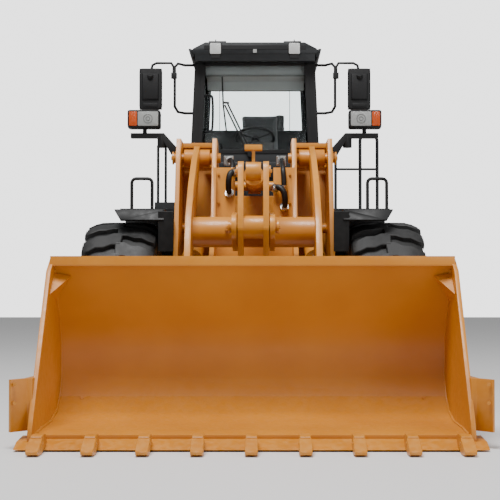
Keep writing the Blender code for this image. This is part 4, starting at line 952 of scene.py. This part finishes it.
def mirrors():
    for name, side in sides:
        headLow = Vector((side * 1.025 - 0.108, hinge.y - 0.16, 2.797))
        headHigh = Vector((side * 1.025 + 0.108, hinge.y - 0.10, 3.195))
        bm = bmesh.new()
        boxRound(bm, headLow - Vector((0.003, 0.006, 0.003)), headHigh + Vector((0.003, 0.006, 0.003)),
                0.032, 5)
        shell = piece(f"mirrorShell{name.title()}", bm, blackPlastic, 30, 0.012, 3)
        bm = bmesh.new()  # the raised back and its socket for the arm
        cx, y = side * 1.025, headLow.y
        corners = ((-1, 2.865, 1), (1, 2.865, 1), (1, 3.165, -1), (-1, 3.165, -1))
        steps = ((0.022, 0.0), (0.034, 0.016), (0.044, 0.019))
        addLoft(bm, [[(cx + sx * (0.108 - inset), y - 0.004 - out, z + sz * inset * 0.8)
                for sx, z, sz in corners] for inset, out in steps], first=False)
        addRod(bm, (cx, y - 0.010, 3.10), (cx, y - 0.030, 3.13), 0.030, 16)
        addBox(bm, cx - 0.070, cx + 0.070, y - 0.012, y - 0.004, 2.815, 2.855)
        bmesh.ops.recalc_face_normals(bm, faces=bm.faces)
        back = rounded(objectFrom(f"mirrorBack{name.title()}", bm, blackPlastic, 30), 0.008, 2)
        bm = bmesh.new()
        boxRound(bm, (headLow.x + 0.012, headHigh.y + 0.004, headLow.z + 0.012),
                (headHigh.x - 0.012, headHigh.y + 0.009, headHigh.z - 0.012), 0.024, 5)
        glass = piece(f"mirrorGlass{name.title()}", bm, mirrorGlass)
        placeOn("rear_body", shell, back, glass)


headlamps()
mirrors()


roofLamp = {"x": 0.388, "z": 3.392, "half": 0.054}


def roofPieces():
    low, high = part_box("cab_roof")
    front, rear = low.y, high.y
    bm = bmesh.new()
    lensMesh = bmesh.new()
    h = roofLamp["half"]
    for side in (-1, 1):
        x, z = side * roofLamp["x"], roofLamp["z"]
        boxRound(bm, (x - h - 0.008, front - 0.006, z - h - 0.008),
                (x + h + 0.008, front + 0.05, z + h + 0.008), 0.016)
        boxRound(lensMesh, (x - h, front - 0.014, z - h), (x + h, front - 0.004, z + h), 0.012)
        addBox(bm, x - 0.045, x + 0.045, front - 0.004, front + 0.03, z - h - 0.045, z - h)
        addRod(bm, (x, front + 0.05, high.z - 0.01), (x, front + 0.05, high.z + 0.012), 0.006, 8)
        boxRound(lensMesh, (side * 0.36 - 0.045, rear, 3.385),
                (side * 0.36 + 0.045, rear + 0.012, 3.435), 0.01)
    housing = piece("roofLampHousings", bm, blackPlastic, 30, 0.004)
    lens = piece("roofLampLenses", lensMesh, roofLens, 30, 0.004)
    bm = bmesh.new()  # dark band across the visor and the small light in it
    addBox(bm, -0.50, 0.50, front - 0.003, front + 0.02, 3.385, 3.425)
    band = piece("visorBand", bm, blackPlastic, 30, 0.002, 1)
    bm = bmesh.new()
    boxRound(bm, (-0.018, front - 0.010, 3.350), (0.018, front - 0.002, 3.385), 0.006)
    small = piece("visorLight", bm, clearLens)
    placeOn("rear_body", housing, lens, band, small)


roofPieces()
print("lamps and mirrors made")


# cab: rubbers, wiper, handles, inside
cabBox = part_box("cab_frame")
cabWall = {"low": 1.80, "high": 3.34, "half": 0.66, "lean": 0.07}


def cabHalf(z):
    # half the cab's width at a height
    return cabWall["half"] - cabWall["lean"] * (z - cabWall["low"]) / (cabWall["high"] - cabWall["low"])


def glazingFrames():
    # rubber frames round the panes; each pane's box gives the outline
    for node, axis, body in (("windscreen", "y", "rear_body"), ("rear_glass", "y", "rear_body"),
            ("quarter_glass_left", "x", "rear_body"), ("quarter_glass_right", "x", "rear_body"),
            ("door_glass_left", "x", "cab_door_left"), ("door_glass_right", "x", "cab_door_right")):
        low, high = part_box(node)
        bm = bmesh.new()
        if axis == "y":
            out = -1 if node == "windscreen" else 1
            face = cabBox[0].y if out < 0 else cabBox[1].y
            y0, y1 = sorted((face + out * 0.006, face - out * 0.020))
            edgeX = (cabHalf(low.z) - 0.075, cabHalf(high.z) - 0.075)
            w = 0.030
            for sx in (-1, 1):
                verts = [bm.verts.new((sx * (x + dx), y, z)) for y in (y0, y1)
                        for x, z, dx in ((edgeX[0], low.z, -w), (edgeX[0], low.z, w / 2),
                        (edgeX[1], high.z, w / 2), (edgeX[1], high.z, -w))]
                for quad in ((0, 1, 2, 3), (7, 6, 5, 4), (0, 4, 5, 1), (1, 5, 6, 2), (2, 6, 7, 3),
                        (3, 7, 4, 0)):
                    bm.faces.new([verts[k] for k in quad])
            addBox(bm, -edgeX[0], edgeX[0], y0, y1, low.z - 0.012, low.z + w)
            addBox(bm, -edgeX[1], edgeX[1], y0, y1, high.z - w, high.z + 0.012)
        else:
            side = 1 if high.x > 0 else -1
            w = 0.018
            for y0, y1, z0, z1 in ((low.y - w / 2, low.y + w, low.z, high.z),
                    (high.y - w, high.y + w / 2, low.z, high.z),
                    (low.y, high.y, low.z - w / 2, low.z + w),
                    (low.y, high.y, high.z - w, high.z + w / 2)):
                verts = []
                for z in (z0, z1):
                    x = side * (cabHalf(z) + 0.002)
                    for y in (y0, y1):
                        verts += [bm.verts.new((x, y, z)), bm.verts.new((x - side * 0.026, y, z))]
                for quad in ((0, 2, 6, 4), (1, 5, 7, 3), (0, 1, 3, 2), (4, 6, 7, 5), (0, 4, 5, 1),
                        (2, 3, 7, 6)):
                    bm.faces.new([verts[k] for k in quad])
        rubber = piece(node + "Rubber", bm, blackPlastic, 30, 0.003, 1)
        placeOn(body, rubber)


stepStrips = {"x": (1.20, 1.30), "count": 14, "pitch": 0.0295, "steps": 4, "rise": 0.31}
deckBars = {"x": (0.70, 1.30), "count": 24, "pitch": 0.038}


def cabOutside():
    front = cabBox[0].y
    bm = bmesh.new()  # covers on the lower front wall
    outline = [(-0.36, 2.13), (0.36, 2.13), (0.36, 2.255), (0.335, 2.285), (-0.335, 2.285),
            (-0.36, 2.255)]
    addPlate(bm, outline, -0.058, -0.0405, acrossY)
    addPlate(bm, [(-0.62, 1.83), (0.62, 1.83), (0.62, 2.05), (-0.62, 2.05)], -0.052, -0.0405, acrossY)
    cover = piece("cabFrontCover", bm, charcoalPaint, 30, 0.008)
    bm = bmesh.new()
    for side in (-1, 1):  # black trim down the front pillars
        section = ((-0.075, -0.0045), (0.003, -0.0045), (0.003, 0.055), (0.0005, 0.055),
                (0.0005, -0.0005), (-0.075, -0.0005))
        addLoft(bm, [[(side * (cabHalf(z) + x), front + y, z) for x, y in section]
                for z in (2.40, 3.26)])
    trim = piece("pillarTrim", bm, blackPlastic)
    bm = bmesh.new()  # wiper: twin rods, blade and its holder
    foot, head = at(-0.045, -0.075, 2.36), at(-0.285, -0.062, 2.855)
    for shift in (-0.014, 0.016):
        move = Vector((shift, 0, shift * 0.3))
        addTube(bm, [foot + move, foot.lerp(head, 0.5) + move + Vector((0, -0.012, 0)), head + move],
                0.0085, 8)
    addRod(bm, foot + Vector((0, -0.012, 0)), foot + Vector((0, 0.03, 0)), 0.028, 16)
    addTube(bm, [head + Vector((-0.028, -0.004, 0.02)), head + Vector((0.03, -0.004, 0.015))], 0.011, 8)
    addTube(bm, [at(-0.325, -0.058, 3.13), at(-0.315, -0.062, 2.86), at(-0.282, -0.058, 2.585)], 0.008,
            6)
    addTube(bm, [at(-0.321, -0.049, 3.14), at(-0.311, -0.049, 2.86), at(-0.279, -0.049, 2.575)], 0.0045,
            6)
    wiper = piece("wiper", bm, blackSteel, 40)
    bm = bmesh.new()  # roof bolts
    roofLow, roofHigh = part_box("cab_roof")
    for y in (roofLow.y + 0.10, roofHigh.y - 0.10):
        for x in (-0.52, 0.52):
            addRod(bm, (x, y, 3.44), (x, y, 3.452), 0.014, 6)
    roofBolts = piece("roofBolts", bm, blackSteel)
    placeOn("rear_body", cover, trim, wiper, roofBolts)
    for name, side in sides:
        def onDoor(y, z, out):
            return Vector((side * (cabHalf(z) + out), hinge.y + y, z))

        bm = bmesh.new()  # door handle and hinges
        addTube(bm, curveThrough([onDoor(0.50, 2.06, 0.002), onDoor(0.50, 2.06, 0.035),
                onDoor(0.66, 2.06, 0.038), onDoor(0.66, 2.06, 0.002)], 5), 0.009, 8)
        for z in (1.98, 2.60, 3.16):
            addRod(bm, onDoor(1.205, z - 0.05, 0.008), onDoor(1.205, z + 0.05, 0.008), 0.012, 12)
        placeOn(f"cab_door_{name}", piece(f"doorFittings{name.title()}", bm, blackSteel, 40))
        bm = bmesh.new()  # strips on the ladder steps, then bars on the deck
        x0, x1 = sorted(side * x for x in stepStrips["x"])
        addBox(bm, x0, x1, hinge.y + 0.40, hinge.y + 0.412, 0.536, 0.541)
        bar = repeated(piece(f"stepTeethRows{name.title()}", bm, platedSteel), copyRow,
                Count=stepStrips["count"], Step=(0, stepStrips["pitch"], 0))
        repeated(bar, copyRow, Count=stepStrips["steps"], Step=(0, 0, stepStrips["rise"]))
        bm = bmesh.new()
        x0, x1 = sorted(side * x for x in deckBars["x"])
        addBox(bm, x0, x1, hinge.y + 0.40, hinge.y + 0.412, 1.829, 1.835)
        deck = repeated(piece(f"deckBars{name.title()}", bm, charcoalPaint), copyRow,
                Count=deckBars["count"], Step=(0, deckBars["pitch"], 0))
        placeOn("rear_body", bar, deck)


def cabInside():
    bm = bmesh.new()  # header over the windscreen
    addPlate(bm, [(0.02, 3.335), (0.02, 3.17), (0.05, 3.150), (0.12, 3.30), (0.12, 3.335)], -0.53, 0.53,
            acrossX)
    header = piece("header", bm, greyPlastic, 30, 0.01)
    bm = bmesh.new()  # pale roof lining, down behind the rear window's top
    addPlate(bm, [(0.125, 3.335), (0.125, 3.30), (1.16, 3.30), (1.205, 3.205), (1.235, 3.205),
            (1.235, 3.335)], -0.53, 0.53, acrossX)
    liner = piece("headliner", bm, palePlastic, 30, 0.01)
    bm = bmesh.new()  # dark rear wall lining up to the sill
    addPlate(bm, [(1.235, 1.86), (1.235, 2.765), (1.20, 2.765), (1.14, 2.60), (1.14, 1.86)], -0.555,
            0.555, acrossX)
    wall = piece("rearWallLining", bm, charcoalPaint, 30, 0.01)
    bm = bmesh.new()
    for side in (-1, 1):
        x0, x1 = sorted((side * 0.40, side * 0.56))
        addBox(bm, x0, x1, hinge.y + 0.62, hinge.y + 1.22, 1.853, 2.24)
    addBox(bm, -0.56, 0.56, hinge.y + 0.04, hinge.y + 0.10, 1.853, 2.36)
    addPlate(bm, [(0.56, 2.24), (1.10, 2.24), (1.10, 2.34), (0.64, 2.31)], -0.46, -0.30, acrossX)
    addPlate(bm, [(0.56, 2.24), (1.10, 2.24), (1.10, 2.34), (0.64, 2.31)], 0.30, 0.46, acrossX)
    consoles = piece("consoles", bm, blackPlastic, 30, 0.012)
    bm = bmesh.new()  # levers and the grab handle on the front pillar
    for x, z in ((-0.40, 2.50), (-0.36, 2.50), (0.40, 2.46)):
        addTube(bm, [at(x, 0.66, 2.30), at(x, 0.64, z)], 0.006, 8)
        addRod(bm, at(x, 0.64, z - 0.01), at(x, 0.635, z + 0.05), 0.016, 12, 0.012)
    addTube(bm, curveThrough([at(-0.52, 0.07, 2.96), at(-0.45, 0.07, 2.965), at(-0.425, 0.07, 2.92),
            at(-0.425, 0.07, 2.67), at(-0.445, 0.07, 2.61), at(-0.53, 0.07, 2.60)], 6), 0.012, 10)
    handles = piece("leversAndHandle", bm, blackPlastic, 40)
    bm = bmesh.new()
    for x in (-0.395, 0.375):
        addBox(bm, x - 0.003, x + 0.003, hinge.y + 1.238, hinge.y + 1.244, 2.77, 3.20)
    lines = piece("rearWindowLines", bm, blackPlastic)
    placeOn("rear_body", header, liner, wall, consoles, handles, lines)


steering = {"middle": (0, 0.30, 2.57), "lean": 25, "radius": 0.19, "tube": 0.0155,
        "spokes": (90, 210, 330)}


def smoothWheel():
    middle = at(*steering["middle"])
    lean = Matrix.Rotation(-radians(steering["lean"]), 3, "X")
    ring = [2 * pi * k / 48 for k in range(48)]
    bm = bmesh.new()
    addTube(bm, [middle + lean @ Vector((steering["radius"] * cos(a), steering["radius"] * sin(a), 0))
            for a in ring], steering["tube"], 12, closed=True)
    for angle in steering["spokes"]:
        a = radians(angle)
        addTube(bm, [middle + lean @ Vector((r * cos(a), r * sin(a), z))
                for r, z in ((0.02, -0.008), (0.10, -0.012), (0.185, -0.002))], 0.010, 8)
    addRod(bm, middle + lean @ Vector((0, 0, -0.028)), middle + lean @ Vector((0, 0, 0.010)), 0.040, 24,
            0.034)
    wheel = piece("steeringRing", bm, blackPlastic, 40)
    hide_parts("steering_wheel")
    placeOn("rear_body", wheel)


padding = {"voxel": 0.010, "pressure": 4.0, "frames": 20, "cap": 0.026}


def pad(name, low, high, lean=0.0, pivot=None, taper=0.0):
    # a cushion blown up from a slightly smaller block
    bm = bmesh.new()
    verts = addBox(bm, low[0], high[0], low[1], high[1], low[2], high[2])
    for v in verts:
        if v.co.z > (low[2] + high[2]) / 2:
            v.co.x *= 1 - taper
    if lean:
        bmesh.ops.rotate(bm, verts=bm.verts, cent=pivot, matrix=Matrix.Rotation(lean, 3, "X"))
    obj = piece(name, bm, seatCloth, 60)
    rounded(obj, 0.03, 3, crease=80)
    remesh = obj.modifiers.new("even faces", "REMESH")
    remesh.mode = "VOXEL"
    remesh.voxel_size = padding["voxel"]
    remesh.use_smooth_shade = True
    baked(obj)
    start = [v.co.copy() for v in obj.data.vertices]
    cloth = obj.modifiers.new("padding", "CLOTH")
    cloth.settings.use_pressure = True
    cloth.settings.uniform_pressure_force = padding["pressure"]
    cloth.settings.effector_weights.gravity = 0
    scene = bpy.context.scene
    for step in range(1, padding["frames"] + 1):
        scene.frame_set(step)
    baked(obj)
    scene.frame_set(1)
    for v, home in zip(obj.data.vertices, start):
        move = v.co - home
        if move.length > padding["cap"]:
            v.co = home + move.normalized() * padding["cap"]
    smooth = obj.modifiers.new("smooth", "SUBSURF")
    smooth.levels = smooth.render_levels = 1
    baked(obj)
    obj.data.shade_smooth()
    return obj


def seatPieces():
    cushion = pad("seatCushion", at(-0.20, 0.44, 2.215), at(0.28, 0.92, 2.315))
    back = pad("seatBack", at(-0.175, 0.93, 2.33), at(0.275, 1.00, 2.92), -0.10, at(0, 0.96, 2.33),
            0.08)
    bm = bmesh.new()
    addPlate(bm, [(0.52, 1.853), (0.92, 1.853), (0.88, 1.90), (0.86, 2.16), (0.58, 2.16), (0.56, 1.90)],
            -0.13, 0.21, acrossX)
    addBox(bm, -0.19, 0.27, hinge.y + 0.46, hinge.y + 0.93, 2.165, 2.20)
    base = piece("seatBase", bm, blackPlastic, 30, 0.012)
    bm = bmesh.new()  # folds in the bellows under the seat
    addTube(bm, [at(x, y, 1.95) for x, y in ((-0.135, 0.55), (0.215, 0.55), (0.215, 0.89),
            (-0.135, 0.89))], 0.012, 8, closed=True)
    folds = repeated(piece("seatBellows", bm, hoseRubber, 40), copyRow, Count=6, Step=(0, 0, 0.034))
    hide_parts("seat")
    placeOn("rear_body", cushion, back, base, folds)


glazingFrames()
cabOutside()
cabInside()
smoothWheel()
seatPieces()
print("cab made")


# engine hood, grille, counterweight, exhaust, tanks
rows = {"louvres": (7, 0.060), "slats": (15, 0.041), "vents": (9, 0.026)}  # how many, and how far apart
rearLamps = {"x": 0.80, "lenses": (("tailLens", redLens, 0.075, 1.10, 1.20, 0.014),
        ("rearTurnLens", amberLens, 0.035, 1.00, 1.07, 0.012))}


def rearPieces():
    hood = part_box("engine_hood")
    for name, side in sides:
        low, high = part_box(f"engine_door_{name}")
        x = high.x if side > 0 else low.x
        bm = bmesh.new()  # pressed louvres on the side doors
        outline = [(0.0, 0.0), (0.020, 0.006), (0.020, 0.012), (0.0, 0.040)]
        for y0, y1 in ((low.y + 0.15, low.y + 0.58), (low.y + 0.70, low.y + 1.13)):
            addLoft(bm, [[(x + side * (u - 0.002), y, low.z + 0.10 + v) for u, v in outline]
                    for y in (y0, y1)])
        louvres = repeated(piece(f"louvres{name.title()}", bm, yellowPaint), copyRow,
                Count=rows["louvres"][0], Step=(0, 0, rows["louvres"][1]))
        bm = bmesh.new()
        for y in (low.y + 0.30, high.y - 0.30):
            addBox(bm, min(x - side * 0.002, x + side * 0.022), max(x - side * 0.002, x + side * 0.022),
                    y - 0.055, y + 0.055, low.z + 0.025, low.z + 0.060)
        pin = jointAt[f"engine_door_{name}_lift"]
        for y in (low.y + 0.12, high.y - 0.12):
            addRod(bm, (pin.x, y - 0.05, pin.z), (pin.x, y + 0.05, pin.z), 0.010, 12)
        latches = piece(f"doorLatches{name.title()}", bm, blackSteel, 30, 0.003, 1)
        placeOn(f"engine_door_{name}", louvres, latches)
        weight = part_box("counterweight")
        x, y0, y1 = side * rearLamps["x"], weight[1].y - 0.004, weight[1].y + 0.012
        lenses = []
        for label, mat, half, z0, z1, corner in rearLamps["lenses"]:
            bm = bmesh.new()
            boxRound(bm, (x - half, y0, z0), (x + half, y1, z1), corner)
            lenses.append(piece(label + name.title(), bm, mat, 30, 0.004))
        bm = bmesh.new()  # filler cap and step on each tank
        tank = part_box("fuel_tank" if side > 0 else "hydraulic_tank")
        out = tank[1].x if side > 0 else tank[0].x
        for near, far, radius, turns in ((-0.005, 0.035, 0.045, 20), (0.034, 0.045, 0.03, 12)):
            addRod(bm, (out + side * near, tank[0].y + 0.10, 1.45),
                    (out + side * far, tank[0].y + 0.10, 1.45), radius, turns)
        for z in (0.85, 1.60):
            addBox(bm, min(out - side * 0.3, out + side * 0.006),
                    max(out - side * 0.3, out + side * 0.006), tank[0].y + 0.18, tank[0].y + 0.22,
                    z - 0.02, z + 0.02)
        cap = piece(f"tankFittings{name.title()}", bm, blackSteel, 30, 0.003, 1)
        placeOn("rear_body", *lenses, cap)
    low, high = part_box("rear_grille")
    bm = bmesh.new()  # grille bars and their frame
    addPlate(bm, [(0, 0), (0.014, 0.010), (0.014, 0.018), (0, 0.030)], low.x + 0.04, high.x - 0.04,
            lambda u, v, w: (w, high.y - 0.004 + u, low.z + 0.05 + v))
    slats = repeated(piece("grilleSlats", bm, charcoalPaint), copyRow, Count=rows["slats"][0],
            Step=(0, 0, rows["slats"][1]))
    bm = bmesh.new()
    for x0, x1, z0, z1 in ((low.x + 0.004, high.x - 0.004, low.z + 0.004, low.z + 0.045),
            (low.x + 0.004, high.x - 0.004, high.z - 0.045, high.z - 0.004),
            (low.x + 0.004, low.x + 0.045, low.z + 0.03, high.z - 0.03),
            (high.x - 0.045, high.x - 0.004, low.z + 0.03, high.z - 0.03),
            (-0.015, 0.015, low.z + 0.03, high.z - 0.03)):
        addBox(bm, x0, x1, high.y - 0.004, high.y + 0.014, z0, z1)
    rim = piece("grilleFrame", bm, charcoalPaint, 30, 0.003, 1)
    placeOn("rear_grille", slats, rim)

    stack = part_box("exhaust_stack")
    cx, cy = (stack[0].x + stack[1].x) / 2, (stack[0].y + stack[1].y) / 2
    bm = bmesh.new()  # clamps on the stack and its rain cap
    for z in (2.56, 2.64, 2.90):
        addRod(bm, (cx, cy, z), (cx, cy, z + 0.018), 0.080 if z < 2.6 else 0.055, 24)
    addTube(bm, [(cx, cy, 2.98), (cx, cy, 3.035), (cx, cy + 0.004, stack[1].z + 0.002)], 0.052, 20)
    clamps = piece("stackClamps", bm, blackSteel, 40)
    bm = bmesh.new()  # air intake and its bowl
    addRod(bm, (-0.28, cy, hood[1].z - 0.004), (-0.28, cy, hood[1].z + 0.10), 0.045, 20)
    addRod(bm, (-0.28, cy, hood[1].z + 0.10), (-0.28, cy, hood[1].z + 0.21), 0.105, 28, 0.095)
    addRod(bm, (-0.28, cy, hood[1].z + 0.21), (-0.28, cy, hood[1].z + 0.24), 0.095, 28, 0.05)
    bowl = piece("airIntake", bm, blackPlastic, 40)
    bm = bmesh.new()
    for y in (1.84, 2.60):
        addBox(bm, -0.58, 0.58, hinge.y + y - 0.004, hinge.y + y + 0.004, hood[1].z - 0.002,
                hood[1].z + 0.003)
    seams = piece("hoodSeams", bm, blackPlastic)
    bm = bmesh.new()  # slotted vent on the hood's top
    addBox(bm, -0.16, 0.16, hinge.y + 2.30, hinge.y + 2.312, hood[1].z - 0.001, hood[1].z + 0.008)
    vents = repeated(piece("hoodVents", bm, charcoalPaint), copyRow, Count=rows["vents"][0],
            Step=(0, rows["vents"][1], 0))
    bm = bmesh.new()  # tow pin and its ears on the counterweight
    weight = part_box("counterweight")
    for z in (0.86, 0.98):
        addBox(bm, -0.09, 0.09, weight[1].y - 0.01, weight[1].y + 0.055, z - 0.016, z + 0.016)
    addRod(bm, (0, weight[1].y + 0.028, 0.83), (0, weight[1].y + 0.028, 1.03), 0.018, 16)
    addTube(bm, curveThrough([(0.0, weight[1].y + 0.028, 1.02), (0.035, weight[1].y + 0.028, 1.06),
            (0.0, weight[1].y + 0.028, 1.10), (-0.035, weight[1].y + 0.028, 1.06),
            (0.0, weight[1].y + 0.028, 1.02)], 5), 0.006, 6)
    tow = piece("towPin", bm, blackSteel, 30, 0.003, 1)
    placeOn("rear_body", clamps, bowl, seams, vents, tow)


rearPieces()


# cylinders: gland rings and the pipes along the lift barrels
cylinders = {"tilt": ((0, -0.60, 2.00), (0, -2.35, 1.97), 1.30, 0.08),
        "lift": ((0.52, -0.84, 1.59), (0.52, -2.025, 1.195), 0.98, 0.085)}  # base, eye, barrel, radius


def cylinderTrim():
    def gland(name, body, base, along, length, radius):
        tip = base + along * length
        bm = bmesh.new()
        addRod(bm, tip - along * 0.06, tip + along * 0.006, radius * 1.06, 28)
        addRod(bm, tip - along * 0.30, tip - along * 0.275, radius * 1.04, 28)
        placeOn(body, piece(name, bm, yellowPaint, 35))

    for kind, label, side in (("tilt", "", 1), ("lift", "Left", 1), ("lift", "Right", -1)):
        (x, y0, z0), (_, y1, z1), length, radius = cylinders[kind]
        base = at(side * x, y0, z0)
        along = (at(side * x, y1, z1) - base).normalized()
        body = f"{kind}_barrel" + (f"_{label.lower()}" if label else "")
        gland(f"{kind}Gland{label}", body, base, along, length, radius)
        if kind == "lift":
            up = Vector((0, -along.z, along.y)) * (-1 if along.y < 0 else 1)
            hoseRun(f"liftPipe{label}", body,
                    [base + along * far + up * off
                    for far, off in ((0.14, 0.095), (0.30, 0.107), (0.60, 0.107), (0.90, 0.092))],
                    0.009, 0.03)


cylinderTrim()
print("rear and cylinders made")


# camera, floor and light
view = {"x": 0.06, "y": -11.40, "z": 1.05, "lens": 85.46, "pitch": 1.785, "shift": -0.022}
studio = {"key": ((-1.5, -5.5, 12), 5, 2000), "fill": ((7, -9, 4), 6, 300), "ambient": 0.38,
        "backdrop": 2.6, "floor": 0.8}


def makeCamera():
    data = bpy.data.cameras.new("camera")
    data.lens = view["lens"]
    data.sensor_width = 36
    data.shift_x = view["shift"]
    cam = linked("camera", data)
    cam.location = (view["x"], view["y"], view["z"])
    cam.rotation_euler = (radians(90 + view["pitch"]), 0, 0)
    bpy.context.scene.camera = cam


def makeStage():
    bpy.ops.mesh.primitive_plane_add(size=60)
    floor = bpy.context.object
    floor.name = "floor"
    mat = bpy.data.materials.new("floorPale")
    mat.use_nodes = True
    mat.node_tree.nodes["Principled BSDF"].inputs["Base Color"].default_value = (*(studio["floor"],) *
            3, 1)
    floor.data.materials.append(mat)
    world = bpy.data.worlds.new("studio")
    world.use_nodes = True
    tree = world.node_tree
    rays = tree.nodes.new("ShaderNodeLightPath")  # the backdrop is brighter than its light
    seen = mathNode(tree, "MAXIMUM", rays.outputs["Is Camera Ray"], rays.outputs["Is Transmission Ray"])
    level = spread(tree, seen, 0, 1, studio["ambient"], studio["backdrop"])
    tree.nodes["Background"].inputs["Color"].default_value = (1, 1, 1, 1)
    tree.links.new(level, tree.nodes["Background"].inputs["Strength"])
    bpy.context.scene.world = world
    for name in ("key", "fill"):
        place, size, power = studio[name]
        lamp = bpy.data.lights.new(name, "AREA")
        lamp.size = size
        lamp.energy = power
        obj = linked(name, lamp)
        obj.location = place
        obj.rotation_euler = (Vector((0, -1, 1)) - Vector(place)).to_track_quat("-Z", "Y").to_euler()


makeCamera()
makeStage()
print("scene ready")
